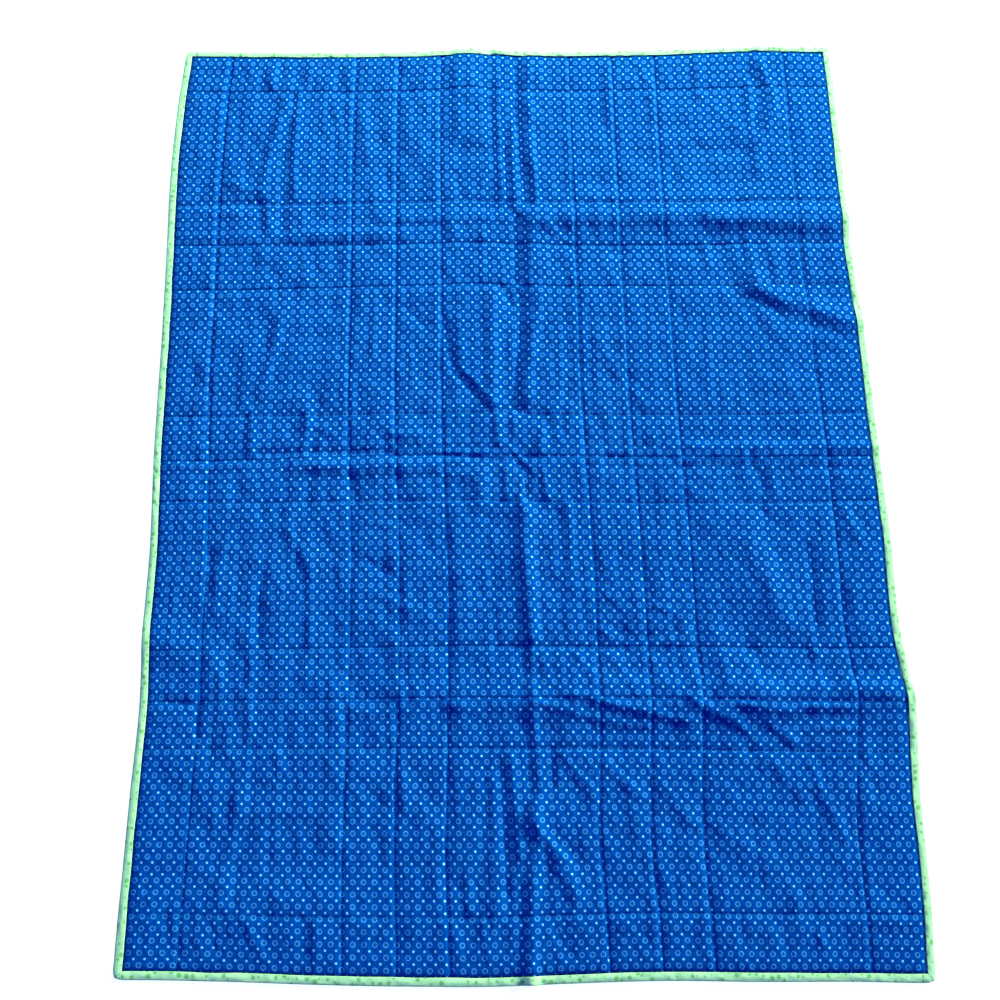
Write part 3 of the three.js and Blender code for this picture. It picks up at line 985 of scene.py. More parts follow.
def grid_piece(name: str, points: Array, cloth_places: Array) -> bpy.types.Object:
    """A grid primitive that is moved, row by row, onto worked-out points.

    Args:
        name: the piece's name.
        points: rows by columns by three, in metres.
        cloth_places: the same shape, the cloth's own coordinates in millimetres.

    Returns:
        The new object, with its cloth coordinates as the attribute "cloth".
    """
    rows, columns = points.shape[:2]
    fresh_start()
    bpy.ops.mesh.primitive_grid_add(
        x_subdivisions=columns - 1, y_subdivisions=rows - 1, size=2, calc_uvs=False
    )
    piece = bpy.context.object
    piece.name = name
    mesh = piece.data
    mesh.name = name
    flat = np.empty(len(mesh.vertices) * 3, np.float32)
    mesh.vertices.foreach_get("co", flat)
    flat = flat.reshape(-1, 3)
    column = np.rint((flat[:, 0] + 1) / 2 * (columns - 1)).astype(int)
    row = np.rint((flat[:, 1] + 1) / 2 * (rows - 1)).astype(int)
    mesh.vertices.foreach_set("co", points[row, column].astype(np.float32).ravel())
    places = mesh.attributes.new("cloth", "FLOAT_VECTOR", "POINT")
    places.data.foreach_set("vector", cloth_places[row, column].astype(np.float32).ravel())
    mesh.update()
    return piece


def edit(piece: bpy.types.Object) -> None:
    """Opens a piece, alone, in edit mode.

    Args:
        piece: the piece.
    """
    fresh_start()
    piece.select_set(True)
    bpy.context.view_layer.objects.active = piece
    bpy.ops.object.mode_set(mode="EDIT")


def select_open_edges() -> None:
    """Selects the open edges of the piece that is in edit mode."""
    bpy.ops.mesh.select_mode(type="EDGE")
    bpy.ops.mesh.select_all(action="DESELECT")
    bpy.ops.mesh.select_non_manifold(
        extend=False,
        use_wire=False,
        use_boundary=True,
        use_multi_face=False,
        use_non_contiguous=False,
        use_verts=False,
    )


def turn_faces_outwards() -> None:
    """Turns all faces of the piece that is in edit mode outwards, and leaves edit mode."""
    bpy.ops.mesh.select_all(action="SELECT")
    bpy.ops.mesh.normals_make_consistent(inside=False)
    bpy.ops.object.mode_set(mode="OBJECT")


class QuiltPanel:
    """The padded panel: the printed back, and plain patches on the hidden front."""

    STEP = 4.4
    MIDDLE_STEP = 3.5
    BESIDE = (1.3, 2.6, 4.6)
    UNDER_EVERY = 6
    BAKE_MAP = "OFBake"
    BAKE_SPLIT = 0.76
    BAKE_GAP = 0.01
    UNDER_BINDING = 2
    THIN_FROM = 5

    def __init__(self, cloth: Cloth) -> None:
        """Takes the cloth whose form the panel has.

        Args:
            cloth: the cloth.
        """
        self.cloth = cloth
        self.piece: bpy.types.Object | None = None
        self.columns = self._places(cloth.furrows_s, cloth.sizes.half_width)
        self.rows = self._places(cloth.furrows_t, cloth.sizes.half_length)
        self.points = np.zeros((0, 0, 3))

    def _places(self, furrows: Array, half: float) -> Array:
        """Places of the grid's lines in one direction.

        They are closer together beside the furrows and in a bay that spans the middle.

        Args:
            furrows: the places of the furrows.
            half: half the size of the quilt in this direction.

        Returns:
            The places, from one edge to the other.
        """
        edge = half - self.cloth.sizes.tongue_end
        inner = (edge + furrows[-1]) / 2
        places = [-edge, -inner]
        for start, end in zip(furrows[:-1], furrows[1:]):
            low, high = start + self.BESIDE[-1], end - self.BESIDE[-1]
            steps = math.ceil((high - low) / (self.MIDDLE_STEP if low < 0 < high else self.STEP))
            places += [start, *(start + gap for gap in self.BESIDE[:-1])]
            places += list(np.linspace(low, high, steps + 1))
            places += [end - gap for gap in self.BESIDE[-2::-1]]
        return np.array([*places, furrows[-1], inner, edge])

    def build(self) -> None:
        """Makes the upper face, the plain lower face and the rim between them."""
        u, v = np.meshgrid(self.columns, self.rows)
        s, t = self.cloth.sewn_place(u, v)
        x, y = self.cloth.laid(s, t)
        self.points = np.stack([x, y, self.cloth.upper_face(u, v) * MM], axis=-1)
        places = np.stack([s, t, self.cloth.depth(s, t)], axis=-1)
        self.piece = grid_piece("quilt_back", self.points, places)
        lower = self._lower_points(s, t, x, y)
        picks = np.ix_(self._thinned(len(self.rows)), self._thinned(len(self.columns)))
        front = grid_piece("quilt_front", lower[picks], places[picks])
        self._add_bake_map(self.piece, (0.0, self.BAKE_SPLIT))
        self._add_bake_map(front, (self.BAKE_SPLIT + self.BAKE_GAP, 1.0))
        self.piece.data.materials.append(PrintedBack().make())
        front.data.materials.append(PlainPatches().make())
        self._join(front)

    def _thinned(self, count: int) -> Array:
        """Every few of the grid's lines, with both ends.

        Args:
            count: how many lines the grid has.

        Returns:
            The numbers of the lines that are kept.
        """
        ends = range(self.UNDER_BINDING + 1)
        inner = range(self.THIN_FROM, count - self.THIN_FROM, self.UNDER_EVERY)
        return np.unique([*ends, *inner, *(count - 1 - line for line in ends)])

    def _lower_points(self, s: Array, t: Array, x: Array, y: Array) -> Array:
        """Points of the lower face, no higher than the cloth is near them.

        Args:
            s: the grid's places across.
            t: the grid's places along.
            x: where they lie, in metres.
            y: where they lie, in metres.

        Returns:
            Points in metres, on the same grid.
        """
        sizes = self.cloth.sizes
        height = self.cloth.lower_face(s, t)
        shifts = range(-self.UNDER_EVERY, self.UNDER_EVERY + 1)
        for axis in (0, 1):
            height = np.minimum.reduce([np.roll(height, shift, axis) for shift in shifts])
        rim = self.cloth.depth(s, t) < sizes.tongue_root + sizes.clearance
        height = np.where(rim, self.cloth.lower_face(s, t) + sizes.tongue_foot, height)
        return np.stack([x, y, height * MM], axis=-1)

    def _add_bake_map(self, piece: bpy.types.Object, band: tuple[float, float]) -> None:
        """Lays a face out flat in a band of the map that a bake uses.

        Args:
            piece: the face.
            band: where the band starts and ends across the map.
        """
        mesh = piece.data
        sizes = self.cloth.sizes
        places = np.empty(len(mesh.vertices) * 3, np.float32)
        mesh.attributes["cloth"].data.foreach_get("vector", places)
        places = places.reshape(-1, 3)
        scale = (band[1] - band[0]) / sizes.width
        across = band[0] + (places[:, 0] + sizes.half_width) * scale
        along = (places[:, 1] + sizes.half_length) * scale
        flat = np.stack([across, along], axis=1)
        corner = np.empty(len(mesh.loops), np.int32)
        mesh.loops.foreach_get("vertex_index", corner)
        layer = mesh.uv_layers.new(name=self.BAKE_MAP)
        layer.uv.foreach_set("vector", flat[corner].astype(np.float32).ravel())

    def _join(self, front: bpy.types.Object) -> None:
        """Joins the two faces, bridges their rims and smooths the shading.

        Args:
            front: the lower face.
        """
        fresh_start()
        front.select_set(True)
        self.piece.select_set(True)
        bpy.context.view_layer.objects.active = self.piece
        bpy.ops.object.join()
        edit(self.piece)
        select_open_edges()
        bpy.ops.mesh.bridge_edge_loops()
        turn_faces_outwards()
        bpy.ops.object.shade_smooth()

    def dress(self) -> None:
        """Puts the panel in the place of its solid."""
        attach(self.piece, "root")
        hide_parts("quilt_panel")
        LOG.info("%s: %d faces", self.piece.name, len(self.piece.data.polygons))


class QuiltingThread:
    """The stitches that lie in the furrows of the printed back."""

    PITCH = 3.2
    LENGTH = 2.5
    WIDTH = 0.75
    RISE = 0.2
    STITCH_SIDES = 5
    STITCH_RINGS = 3

    def __init__(self, panel: QuiltPanel) -> None:
        """Takes the panel whose lines are sewn."""
        self.panel = panel
        self.piece: bpy.types.Object | None = None

    def _model_stitch(self) -> tuple[Array, list[list[int]]]:
        """Points and faces of one stitch, a unit long, wide and high.

        Returns:
            Its points, and the corners of each of its faces.
        """
        fresh_start()
        bpy.ops.mesh.primitive_uv_sphere_add(
            segments=self.STITCH_SIDES, ring_count=self.STITCH_RINGS, radius=0.5, calc_uvs=False
        )
        model = bpy.context.object
        points = np.array([vertex.co for vertex in model.data.vertices])
        faces = [list(face.vertices) for face in model.data.polygons]
        bpy.data.objects.remove(model)
        along, across, up = points[:, 2], points[:, 0], points[:, 1]
        return np.stack([along, across, up], axis=1), faces

    def _line_points(self) -> list[Array]:
        """Points of each line of sewing on the panel's upper face, in metres.

        Returns:
            A row of points for each line, from binding to binding.
        """
        panel, cloth = self.panel, self.panel.cloth
        bare = slice(panel.UNDER_BINDING, -panel.UNDER_BINDING)
        lengthwise = [panel.points[bare, np.abs(panel.columns - line).argmin()] for line in cloth.lines_s]
        crosswise = [panel.points[np.abs(panel.rows - line).argmin(), bare] for line in cloth.lines_t]
        return lengthwise + crosswise

    def _stitches(self, line: Array, model: Array) -> Array:
        """Points of all the stitches of one line.

        Args:
            line: the line's points.
            model: the points of one stitch.

        Returns:
            Points in metres, a block for each stitch.
        """
        run = np.concatenate([[0], np.cumsum(np.linalg.norm(np.diff(line, axis=0), axis=1))]) / MM
        starts = np.arange(self.PITCH, run[-1] - self.PITCH, self.PITCH)
        ends = starts + self.LENGTH
        first = np.stack([np.interp(starts, run, line[:, axis]) for axis in range(3)], axis=1)
        last = np.stack([np.interp(ends, run, line[:, axis]) for axis in range(3)], axis=1)
        forward = last - first
        length = np.linalg.norm(forward, axis=1, keepdims=True)
        side = np.cross(np.array([0.0, 0.0, 1.0]), forward / length)
        side /= np.linalg.norm(side, axis=1, keepdims=True)
        up = np.cross(forward / length, side)
        middle = (first + last) / 2 + up * self.RISE * MM
        return (
            middle[:, None]
            + model[None, :, :1] * forward[:, None]
            + model[None, :, 1:2] * side[:, None] * self.WIDTH * MM
            + model[None, :, 2:3] * up[:, None] * self.WIDTH * MM
        )

    def build(self) -> None:
        """Makes all the stitches as one joined mesh."""
        model, faces = self._model_stitch()
        blocks = np.concatenate([self._stitches(line, model) for line in self._line_points()])
        count = len(model)
        joined = [
            [corner + count * stitch for corner in face]
            for stitch in range(len(blocks))
            for face in faces
        ]
        mesh = bpy.data.meshes.new("quilting_thread")
        mesh.from_pydata(blocks.reshape(-1, 3).tolist(), [], joined)
        mesh.materials.append(CottonThread().make())
        self.piece = bpy.data.objects.new("quilting_thread", mesh)
        bpy.context.scene.collection.objects.link(self.piece)
        edit(self.piece)
        turn_faces_outwards()
        bpy.ops.object.shade_smooth()

    def dress(self) -> None:
        """Lets the thread go with the panel."""
        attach(self.piece, "root")
        LOG.info("%s: %d faces", self.piece.name, len(self.piece.data.polygons))


@dataclass(frozen=True)
class Tuck:
    """A stretch of the binding that is drawn up more than the rest."""

    side: Side
    at: float
    reach: float
    strength: float


TUCKS = (
    Tuck(Side.RIGHT, -315, 55, 2.2),
    Tuck(Side.RIGHT, 200, 60, 0.8),
    Tuck(Side.LEFT, -20, 50, 0.7),
    Tuck(Side.HEAD, 10, 60, 0.8),
)


class BindingStrip:
    """One strip of the binding, folded over the panel's edge and mitred at both ends."""

    STEP = 2.6
    TURN = 24.0
    CROWN = 0.5
    EDGE_ROUND = 0.35
    LEAF_STEPS = 8
    NOSE_STEPS = 7
    INNER_STEPS = 3
    WAVE = 0.5
    WAVE_PITCH = (34.0, 10.0)
    RIPPLE = 0.32
    RIPPLE_PITCH = (7.5, 5.0)
    INSIDE_SHARE = (0.5, 1.0)
    WELD = 1e-6
    SHARP_ANGLE = 50.0
    FIRST_SEED = 40
    SEEDS_EACH = 2

    def __init__(self, cloth: Cloth, side: Side, seed: int) -> None:
        """Takes the cloth that is bound, the edge, and a seed for the edge's unevenness.

        Args:
            cloth: the cloth.
            side: the edge that the strip binds.
            seed: the seed of the strip's own unevenness.
        """
        self.cloth = cloth
        self.side = side
        self.piece: bpy.types.Object | None = None
        across = side in (Side.HEAD, Side.FOOT)
        self.half = cloth.sizes.half_width if across else cloth.sizes.half_length
        self.wave = SoftNoise(seed, *self.WAVE_PITCH)
        self.ripple = SoftNoise(seed + 1, *self.RIPPLE_PITCH)

    def _section(self) -> tuple[Array, Array, Array]:
        """Section of the folded strip, from its upper leaf's edge round the nose and back inside.

        Returns:
            Depths inwards, heights, and how much of the upper leaf's unevenness each point has.
        """
        sizes = self.cloth.sizes
        width, height, thick = sizes.binding_width, sizes.edge_height, sizes.binding_cloth
        nose = height / 2
        share = np.linspace(0, 1, self.LEAF_STEPS)
        crown = height + self.CROWN * np.sin(np.pi * share)
        leaf = np.stack([width - share * (width - nose), crown], axis=1)
        leaf[0, 1] -= self.EDGE_ROUND
        leaf[1, 0] = width - self.EDGE_ROUND
        angle = np.linspace(0, np.pi, self.NOSE_STEPS)[1:]
        outer = np.stack([nose - nose * np.sin(angle), nose + nose * np.cos(angle)], axis=1)
        under = np.array([[width / 2, 0], [width, 0], [width, thick]])
        angle = np.linspace(np.pi, 0, self.INNER_STEPS + 2)
        hollow = nose - thick
        inner = np.stack([nose - hollow * np.sin(angle), nose + hollow * np.cos(angle)], axis=1)
        last = np.array([[width / 2, height - thick], [width, height - thick]])
        ring = np.concatenate([leaf, outer, under, inner, last])
        on_leaf = np.zeros(len(ring))
        on_leaf[: self.LEAF_STEPS] = 1
        on_leaf[-len(self.INSIDE_SHARE) :] = self.INSIDE_SHARE
        return ring[:, 0], ring[:, 1], on_leaf

    def _cloth_point(self, place: Array, depth: Array) -> tuple[Array, Array]:
        """Cloth point at a place along the strip, swept anticlockwise round the quilt, and a depth.

        Args:
            place: places along the strip.
            depth: depths inside the quilt's outer edge.

        Returns:
            The cloth's s and t.
        """
        sizes = self.cloth.sizes
        if self.side is Side.HEAD:
            return -place, sizes.half_length - depth
        if self.side is Side.FOOT:
            return place, depth - sizes.half_length
        if self.side is Side.LEFT:
            return depth - sizes.half_width, -place
        return sizes.half_width - depth, place

    def _drawn_up(self, place: Array) -> Array:
        """How strongly the strip is puckered along its length.

        Args:
            place: places along the strip.

        Returns:
            The strength, 1 where there is no tuck.
        """
        along = -place if self.side in (Side.HEAD, Side.LEFT) else place
        strength = np.ones_like(place)
        for tuck in TUCKS:
            if tuck.side is self.side:
                strength = strength + tuck.strength * np.exp(-(((along - tuck.at) / tuck.reach) ** 2))
        return strength

    def build(self) -> None:
        """Sweeps the section along the edge, closes its seam and fills its mitred ends."""
        sizes = self.cloth.sizes
        depth, height, on_leaf = self._section()
        ring = np.append(np.arange(len(depth)), 0)
        depth, height, on_leaf = depth[ring], height[ring], on_leaf[ring]
        wrap = np.concatenate([[0], np.cumsum(np.hypot(np.diff(depth), np.diff(height)))])
        stations = np.linspace(-self.half, self.half, math.ceil(2 * self.half / self.STEP))
        place, depth = np.meshgrid(stations, depth, indexing="ij")
        drawn_up = self._drawn_up(place)
        depth = depth + self.WAVE * self.wave.at(place, depth) * on_leaf * depth / sizes.binding_width
        near_end = np.clip(np.abs(place) - (self.half - self.TURN), 0, None)
        mitred = self.half - self.TURN + near_end * (self.TURN - depth - sizes.mitre_gap) / self.TURN
        along = np.where(near_end > 0, np.sign(place) * mitred, place)
        s, t = self._cloth_point(along, depth)
        x, y = self.cloth.laid(s, t)
        pucker = self.RIPPLE * drawn_up * self.ripple.at(place, depth) * on_leaf
        z = (self.cloth.lower_face(s, t) + height + pucker) * MM
        places = np.stack([along, np.broadcast_to(wrap, along.shape), depth], axis=-1)
        points = np.stack([x, y, z], axis=-1)
        self.piece = grid_piece("binding_" + self.side.value + "_cloth", points, places)
        edit(self.piece)
        bpy.ops.mesh.select_all(action="SELECT")
        bpy.ops.mesh.remove_doubles(threshold=self.WELD)
        select_open_edges()
        bpy.ops.mesh.fill_holes(sides=0)
        turn_faces_outwards()
        bpy.ops.object.shade_smooth_by_angle(angle=math.radians(self.SHARP_ANGLE))
        self.piece.data.materials.append(BindingCotton().make())

    def dress(self) -> None:
        """Puts the strip in the place of its solid."""
        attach(self.piece, "root")
        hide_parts("binding_" + self.side.value)
        LOG.info("%s: %d faces", self.piece.name, len(self.piece.data.polygons))


class Reading:
    """A number that changes over a surface. Python's operators on it add Math nodes."""

    def __init__(self, nodes: "FinishNodes", socket: bpy.types.NodeSocket) -> None:
        """Wraps one output socket."""
        self.nodes = nodes
        self.socket = socket

    def __add__(self, other: "Reading | float") -> "Reading":
        """Sum."""
        return self.nodes.maths("ADD", self, other)

    __radd__ = __add__

    def __sub__(self, other: "Reading | float") -> "Reading":
        """Difference."""
        return self.nodes.maths("SUBTRACT", self, other)

    def __rsub__(self, other: float) -> "Reading":
        """Difference from a plain number."""
        return self.nodes.maths("SUBTRACT", other, self)

    def __mul__(self, other: "Reading | float") -> "Reading":
        """Product."""
        return self.nodes.maths("MULTIPLY", self, other)

    def __truediv__(self, other: "Reading | float") -> "Reading":
        """Quotient."""
        return self.nodes.maths("DIVIDE", self, other)

    def fraction(self) -> "Reading":
        """What is left above the whole number below."""
        return self.nodes.maths("FRACT", self)

    def sine(self) -> "Reading":
        """Sine of the number, in radians."""
        return self.nodes.maths("SINE", self)

    def size(self) -> "Reading":
        """The number without its sign."""
        return self.nodes.maths("ABSOLUTE", self)

    def inside(self, limit: "Reading | float", blur: float) -> "Reading":
        """1 where the number is under a limit and 0 above it, blurred over a width."""
        return self.nodes.maths("MULTIPLY_ADD", limit - self, 1 / blur, 0.5, clamp=True)


class FinishNodes:
    """The nodes of one material, or of the sky."""

    TERMS = ("Value", "Value_001", "Value_002")
    FINE_PITCH = 3.0

    def __init__(self, owner: bpy.types.Material | bpy.types.World) -> None:
        """Starts a material or a sky with no nodes.

        Args:
            owner: the material or the sky.
        """
        self.owner = owner
        self.owner.use_nodes = True
        self.tree = self.owner.node_tree
        self.tree.nodes.clear()

    def add(self, kind: str, settings: dict[str, Any], sockets: dict[str, Any]) -> bpy.types.Node:
        """Adds a node.

        Args:
            kind: the node's type.
            settings: its own settings, which are set first.
            sockets: values or links of its inputs, by name or identifier.

        Returns:
            The node.
        """
        node = self.tree.nodes.new(kind)
        for name, setting in settings.items():
            setattr(node, name, setting)
        for name, value in sockets.items():
            socket = next(entry for entry in node.inputs if name in (entry.identifier, entry.name))
            if isinstance(value, Reading):
                self.tree.links.new(value.socket, socket)
            elif isinstance(value, bpy.types.NodeSocket):
                self.tree.links.new(value, socket)
            elif isinstance(value, tuple) and len(value) == 3 and socket.type == "RGBA":
                socket.default_value = (*value, 1.0)
            else:
                socket.default_value = value
        return node

    def maths(self, operation: str, *terms: "Reading | float", clamp: bool = False) -> Reading:
        """Adds a Math node on some terms.

        Args:
            operation: the node's operation.
            *terms: its inputs, in order.
            clamp: whether the result is kept from 0 to 1.

        Returns:
            The result.
        """
        settings = {"operation": operation, "use_clamp": clamp}
        sockets = dict(zip(self.TERMS, terms))
        return Reading(self, self.add("ShaderNodeMath", settings, sockets).outputs[0])

    def cloth_places(self) -> tuple[Reading, Reading]:
        """The cloth's own coordinates, in millimetres.

        Returns:
            Places across and along, or on a strip of binding along it and round its section.
        """
        place = self.add("ShaderNodeAttribute", {"attribute_name": "cloth"}, {}).outputs["Vector"]
        parts = self.add("ShaderNodeSeparateXYZ", {}, {"Vector": place}).outputs
        return Reading(self, parts[0]), Reading(self, parts[1])

    def point(self, x: "Reading | float", y: "Reading | float") -> bpy.types.NodeSocket:
        """A vector of two readings."""
        return self.add("ShaderNodeCombineXYZ", {}, {"X": x, "Y": y}).outputs[0]

    def noise(self, where: bpy.types.NodeSocket, pitch: float, detail: float = 2.0) -> Reading:
        """Soft noise from 0 to 1, with its pitch in the unit of the place."""
        sockets = {"Vector": where, "Scale": 1 / pitch, "Detail": detail}
        return Reading(self, self.add("ShaderNodeTexNoise", {}, sockets).outputs[0])

    def uneven(self, where: bpy.types.NodeSocket, least: float, change: float) -> Reading:
        """A roughness that differs a little from place to place."""
        return least + self.noise(where, self.FINE_PITCH) * change

    def mix(self, share: "Reading | float", first: Any, second: Any) -> bpy.types.NodeSocket:
        """A colour between two colours.

        Args:
            share: how much of the second colour there is.
            first: a colour or a socket.
            second: a colour or a socket.

        Returns:
            The colour's socket.
        """
        sockets = {"Factor_Float": share, "A_Color": first, "B_Color": second}
        node = self.add("ShaderNodeMix", {"data_type": "RGBA"}, sockets)
        return next(entry for entry in node.outputs if entry.identifier == "Result_Color")

    def finish(self, sockets: dict[str, Any]) -> bpy.types.Material:
        """Ends the material with one shader.

        Args:
            sockets: values or links of the shader's inputs.

        Returns:
            The material.
        """
        shader = self.add("ShaderNodeBsdfPrincipled", {}, sockets)
        self.add("ShaderNodeOutputMaterial", {}, {"Surface": shader.outputs[0]})
        return self.owner

    def bump(self, height: Reading) -> bpy.types.NodeSocket:
        """A normal that stands up by a height in millimetres."""
        return self.add("ShaderNodeBump", {}, {"Strength": 1.0, "Distance": MM, "Height": height}).outputs[0]


@dataclass(frozen=True)
class Weave:
    """A plain weave of fine cotton."""

    pitch: float = 0.42
    rise: float = 0.012
    slub: float = 0.07
    slub_pitch: float = 5.0
    slub_detail: float = 3.0
    crumple: float = 1.9
    crumple_pitch: float = 11.0
    crumple_shape: tuple[float, float] = (1.3, 0.8)

    def height(self, nodes: FinishNodes, s: Reading, t: Reading) -> Reading:
        """Height of the threads, the slubs and the cloth's fine crumple, in millimetres.

        Args:
            nodes: the material's nodes.
            s: places across.
            t: places along.

        Returns:
            The height.
        """
        turn = 2 * math.pi / self.pitch
        threads = (s * turn).sine() * (t * turn).sine()
        slubs = nodes.noise(nodes.point(s, t), self.slub_pitch, self.slub_detail) * self.slub
        shape_s, shape_t = self.crumple_shape
        crumple = nodes.noise(nodes.point(s * shape_s, t * shape_t), self.crumple_pitch) * self.crumple
        return threads * self.rise + slubs + crumple


@dataclass(frozen=True)
class PrintedBack:
    """Blue cotton printed with thin rings and small pale dots, in turn."""

    ground: Colour = (0.0, 0.041, 0.28)
    faded: Colour = (0.0, 0.05, 0.308)
    ring: Colour = (0.045, 0.262, 0.73)
    ring_middle: Colour = (0.003, 0.072, 0.33)
    dot: Colour = (0.14, 0.45, 0.84)
    pitch_s: float = 12.7
    pitch_t: float = 13.78
    start_s: float = 5.75
    start_t: float = 37.7
    ring_radius: float = 2.75
    ring_line: float = 0.8
    dot_radius: float = 1.35
    blur: float = 0.5
    fade_pitch: float = 90.0
    roughness: float = 0.8
    roughness_change: float = 0.15
    shine: float = 0.0

    def make(self) -> bpy.types.Material:
        """The printed cotton's material.

        Returns:
            The new material.
        """
        nodes = FinishNodes(bpy.data.materials.new("printed_back"))
        s, t = nodes.cloth_places()
        across = s / self.pitch_s - self.start_s
        along = t / -self.pitch_t - self.start_t
        from_ring = self._distance(nodes, across.fraction() - 0.5, along.fraction() - 0.5)
        from_dot = self._distance(nodes, (across + 0.5).fraction() - 0.5, (along + 0.5).fraction() - 0.5)
        ring = (from_ring - self.ring_radius).size().inside(self.ring_line / 2, self.blur)
        middle = from_ring.inside(self.ring_radius, self.blur)
        dot = from_dot.inside(self.dot_radius, self.blur)
        where = nodes.point(s, t)
        colour = nodes.mix(nodes.noise(where, self.fade_pitch), self.ground, self.faded)
        colour = nodes.mix(middle, colour, self.ring_middle)
        colour = nodes.mix(ring, colour, self.ring)
        colour = nodes.mix(dot, colour, self.dot)
        return nodes.finish({
            "Base Color": colour,
            "Roughness": nodes.uneven(where, self.roughness, self.roughness_change),
            "Specular IOR Level": self.shine,
            "Normal": nodes.bump(Weave().height(nodes, s, t)),
        })

    def _distance(self, nodes: FinishNodes, across: Reading, along: Reading) -> Reading:
        """Distance, in millimetres, of a place in its repeat from the repeat's middle."""
        x, y = across * self.pitch_s, along * self.pitch_t
        return nodes.maths("SQRT", x * x + y * y)


@dataclass(frozen=True)
class PlainPatches:
    """The hidden pieced front: plain patches of the two cottons' own colours."""

    dark: Colour = (0.002, 0.07, 0.36)
    light: Colour = (0.36, 0.66, 0.28)
    patch: float = QuiltSizes.patch
    light_over: float = 0.35
    blend: float = 0.05
    roughness: float = 0.85
    roughness_change: float = 0.1
    shine: float = 0.2

    def make(self) -> bpy.types.Material:
        """The patches' material.

        Returns:
            The new material.
        """
        nodes = FinishNodes(bpy.data.materials.new("plain_patches"))
        s, t = nodes.cloth_places()
        column = nodes.maths("FLOOR", s / self.patch + 0.5)
        row = nodes.maths("FLOOR", t / self.patch)
        where = nodes.point(column, row)
        draw = nodes.add("ShaderNodeTexWhiteNoise", {"noise_dimensions": "2D"}, {"Vector": where})
        chance = Reading(nodes, draw.outputs["Value"])
        share = nodes.maths("SMOOTH_MAX", chance - self.light_over, 0.0, self.blend)
        return nodes.finish({
            "Base Color": nodes.mix(share, self.dark, self.light),
            "Roughness": nodes.uneven(nodes.point(s, t), self.roughness, self.roughness_change),
            "Specular IOR Level": self.shine,
            "Normal": nodes.bump(Weave().height(nodes, s, t)),
        })


@dataclass(frozen=True)
class BindingCotton:
    """Pale green cotton with small, sparse dots of darker greens."""

    ground: Colour = (0.27, 0.61, 0.325)
    pale: Colour = (0.34, 0.66, 0.44)
    dot: Colour = (0.12, 0.42, 0.14)
    dot_pitch: float = 8.5
    dot_share: float = 0.34
    blur: float = 0.16
    pale_pitch: float = 12.0
    roughness: float = 0.82
    roughness_change: float = 0.12
    shine: float = 0.06
    weave: Weave = Weave(crumple=0.4)

    def make(self) -> bpy.types.Material:
        """The binding's material.

        Returns:
            The new material.
        """
        nodes = FinishNodes(bpy.data.materials.new("binding_cotton"))
        place, wrap = nodes.cloth_places()
        where = nodes.point(place, wrap)
        settings = {"feature": "F1", "voronoi_dimensions": "2D"}
        cells = nodes.add("ShaderNodeTexVoronoi", settings, {"Vector": where, "Scale": 1 / self.dot_pitch})
        parts = nodes.add("ShaderNodeSeparateColor", {}, {"Color": cells.outputs["Color"]})
        chance = Reading(nodes, parts.outputs[0])
        away = Reading(nodes, cells.outputs["Distance"])
        dot = away.inside(chance * self.dot_share, self.blur)
        colour = nodes.mix(nodes.noise(where, self.pale_pitch), self.ground, self.pale)
        return nodes.finish({
            "Base Color": nodes.mix(dot, colour, self.dot),
            "Roughness": nodes.uneven(where, self.roughness, self.roughness_change),
            "Specular IOR Level": self.shine,
            "Normal": nodes.bump(self.weave.height(nodes, place, wrap)),
        })


@dataclass(frozen=True)
class CottonThread:
    """Blue sewing thread with a slight twist."""

    dark: Colour = (0.0, 0.13, 0.48)
    light: Colour = (0.005, 0.25, 0.72)
    twist: float = 0.5
    roughness: float = 0.6
    roughness_change: float = 0.2
    shine: float = 0.05

    def make(self) -> bpy.types.Material:
        """The thread's material.

        Returns:
            The new material.
        """
        nodes = FinishNodes(bpy.data.materials.new("cotton_thread"))
        place = nodes.add("ShaderNodeTexCoord", {}, {}).outputs["Object"]
        strands = nodes.noise(place, self.twist * MM)
        return nodes.finish({
            "Base Color": nodes.mix(strands, self.dark, self.light),
            "Roughness": self.roughness + strands * self.roughness_change,
            "Specular IOR Level": self.shine,
        })


@dataclass(frozen=True)
class PaleFloor:
    """A plain, nearly white floor."""

    colour: Colour = (0.86, 0.86, 0.86)
    mottle: Colour = (0.9, 0.9, 0.9)
    mottle_pitch: float = 1 / 3
    roughness: float = 0.9
    shine: float = 0.0
    glow_colour: Colour = (1.0, 1.0, 1.0)
    glow: float = 0.85

    def make(self) -> bpy.types.Material:
        """The floor's material.

        Returns:
            The new material.
        """
        nodes = FinishNodes(bpy.data.materials.new("pale_floor"))
        place = nodes.add("ShaderNodeTexCoord", {}, {}).outputs["Object"]
        mottled = nodes.noise(place, self.mottle_pitch)
        return nodes.finish({
            "Base Color": nodes.mix(mottled, self.colour, self.mottle),
            "Roughness": self.roughness,
            "Specular IOR Level": self.shine,
            "Emission Color": self.glow_colour,
            "Emission Strength": self.glow,
        })


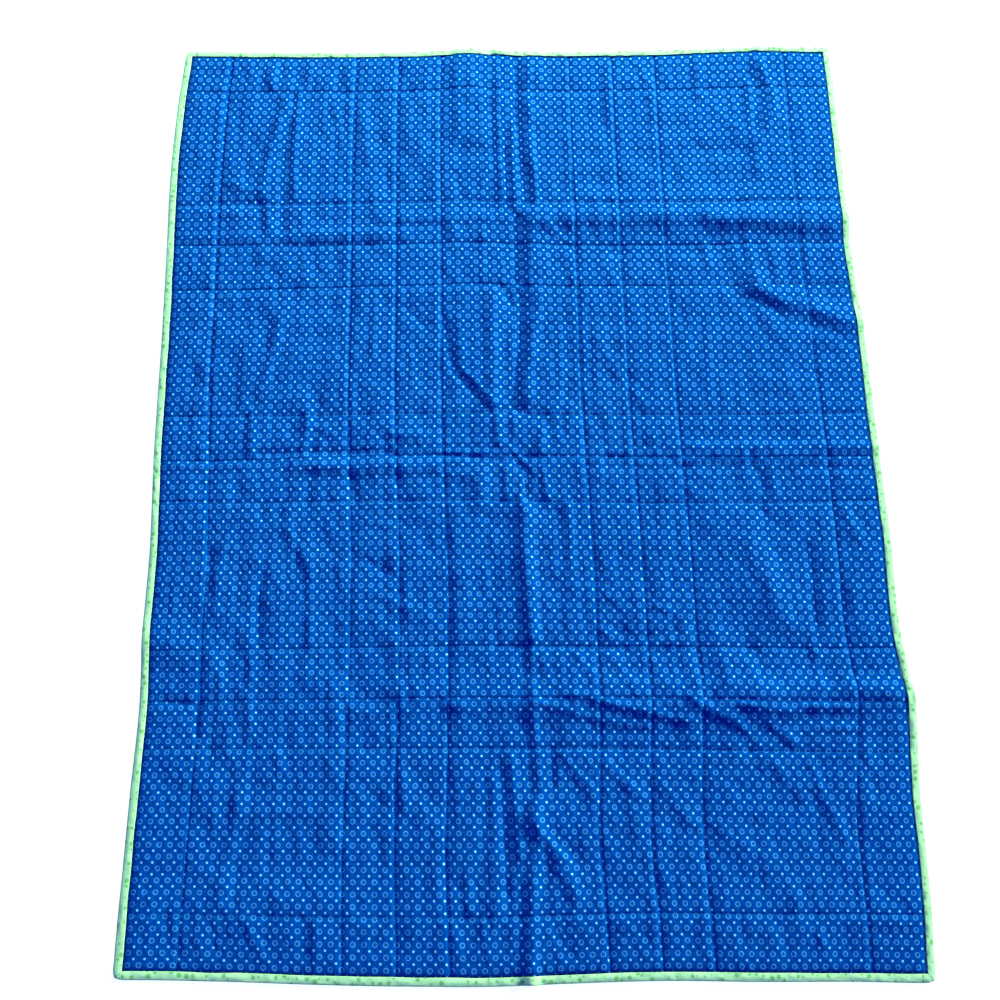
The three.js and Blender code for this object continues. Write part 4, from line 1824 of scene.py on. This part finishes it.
@dataclass(frozen=True)
class Sky:
    """A sky that is blue above and pale near the horizon."""

    high: Colour = (0.023, 0.041, 0.58)
    low: Colour = (0.7, 0.77, 0.82)
    rise: float = 0.28
    blur: float = 0.24

    def make(self) -> bpy.types.World:
        """Makes the sky, whose colour changes with the rise of the direction.

        Returns:
            The new sky.
        """
        nodes = FinishNodes(bpy.data.worlds.new("pale_sky"))
        direction = nodes.add("ShaderNodeTexCoord", {}, {}).outputs["Generated"]
        parts = nodes.add("ShaderNodeSeparateXYZ", {}, {"Vector": direction})
        is_low = Reading(nodes, parts.outputs[2]).inside(self.rise, self.blur)
        colour = nodes.mix(is_low, self.high, self.low)
        background = nodes.add("ShaderNodeBackground", {}, {"Color": colour})
        nodes.add("ShaderNodeOutputWorld", {}, {"Surface": background.outputs[0]})
        return nodes.owner


@dataclass(frozen=True)
class Studio:
    """A floor, a low light from the far right, a light beyond the head, a sky and a camera."""

    floor_side: float = 14.0
    floor_drop: float = 0.0004
    key_bearing: float = 68.0
    key_height: float = 16.5
    key_strength: float = 9.6
    key_colour: Colour = (1.0, 1.0, 0.6)
    key_softness: float = 8.0
    far_place: tuple[float, float, float] = (0.35, 2.0, 0.85)
    far_size: tuple[float, float] = (0.9, 0.6)
    far_power: float = 101.0
    far_colour: Colour = (0.8, 1.0, 0.6)
    camera_place: tuple[float, float, float] = (-0.0931, -0.4854, 1.4405)
    camera_turn: tuple[float, float, float] = (0.29206, -0.03726, -0.02295)
    lens: float = 41.12
    sensor: float = 36.0

    def build(self) -> None:
        """Makes the floor, the lights and the camera."""
        self._lay_floor()
        self._add_lights()
        self._add_camera()

    def _lay_floor(self) -> None:
        """A wide floor just under the quilt."""
        fresh_start()
        bpy.ops.mesh.primitive_plane_add(size=self.floor_side, location=(0, 0, -self.floor_drop))
        floor = bpy.context.object
        floor.name = "studio_floor"
        floor.data.materials.append(PaleFloor().make())

    def _add_lights(self) -> None:
        """A soft key from the far right, a wide light beyond the head, and the sky."""
        bearing, height = math.radians(self.key_bearing), math.radians(self.key_height)
        level = math.cos(height)
        towards = Vector((math.sin(bearing) * level, math.cos(bearing) * level, math.sin(height)))
        bpy.ops.object.light_add(type="SUN", rotation=towards.to_track_quat("Z", "Y").to_euler())
        key = bpy.context.object
        key.name = "key_light"
        key.data.energy = self.key_strength
        key.data.color = self.key_colour
        key.data.angle = math.radians(self.key_softness)
        place = Vector(self.far_place)
        facing = place.to_track_quat("Z", "Y").to_euler()
        bpy.ops.object.light_add(type="AREA", location=place, rotation=facing)
        far = bpy.context.object
        far.name = "far_light"
        far.data.shape = "RECTANGLE"
        far.data.size, far.data.size_y = self.far_size
        far.data.energy = self.far_power
        far.data.color = self.far_colour
        bpy.context.scene.world = Sky().make()
        bpy.context.scene.view_settings.view_transform = "Standard"

    def _add_camera(self) -> None:
        """The camera, standing over the foot and looking down the quilt."""
        bpy.ops.object.camera_add(location=self.camera_place, rotation=self.camera_turn)
        camera = bpy.context.object
        camera.name = "camera"
        camera.data.lens = self.lens
        camera.data.sensor_width = self.sensor
        bpy.context.scene.camera = camera


def main() -> None:
    """Builds the quilt and its studio."""
    logging.basicConfig(level=logging.INFO, format="%(message)s")
    cloth = Cloth(QuiltSizes())
    panel = QuiltPanel(cloth)
    thread = QuiltingThread(panel)
    seeds = itertools.count(BindingStrip.FIRST_SEED, BindingStrip.SEEDS_EACH)
    strips = [BindingStrip(cloth, side, seed) for side, seed in zip(Side, seeds)]
    for part in (panel, thread, *strips):
        part.build()
        part.dress()
    Studio().build()


if __name__ == "__main__":
    main()
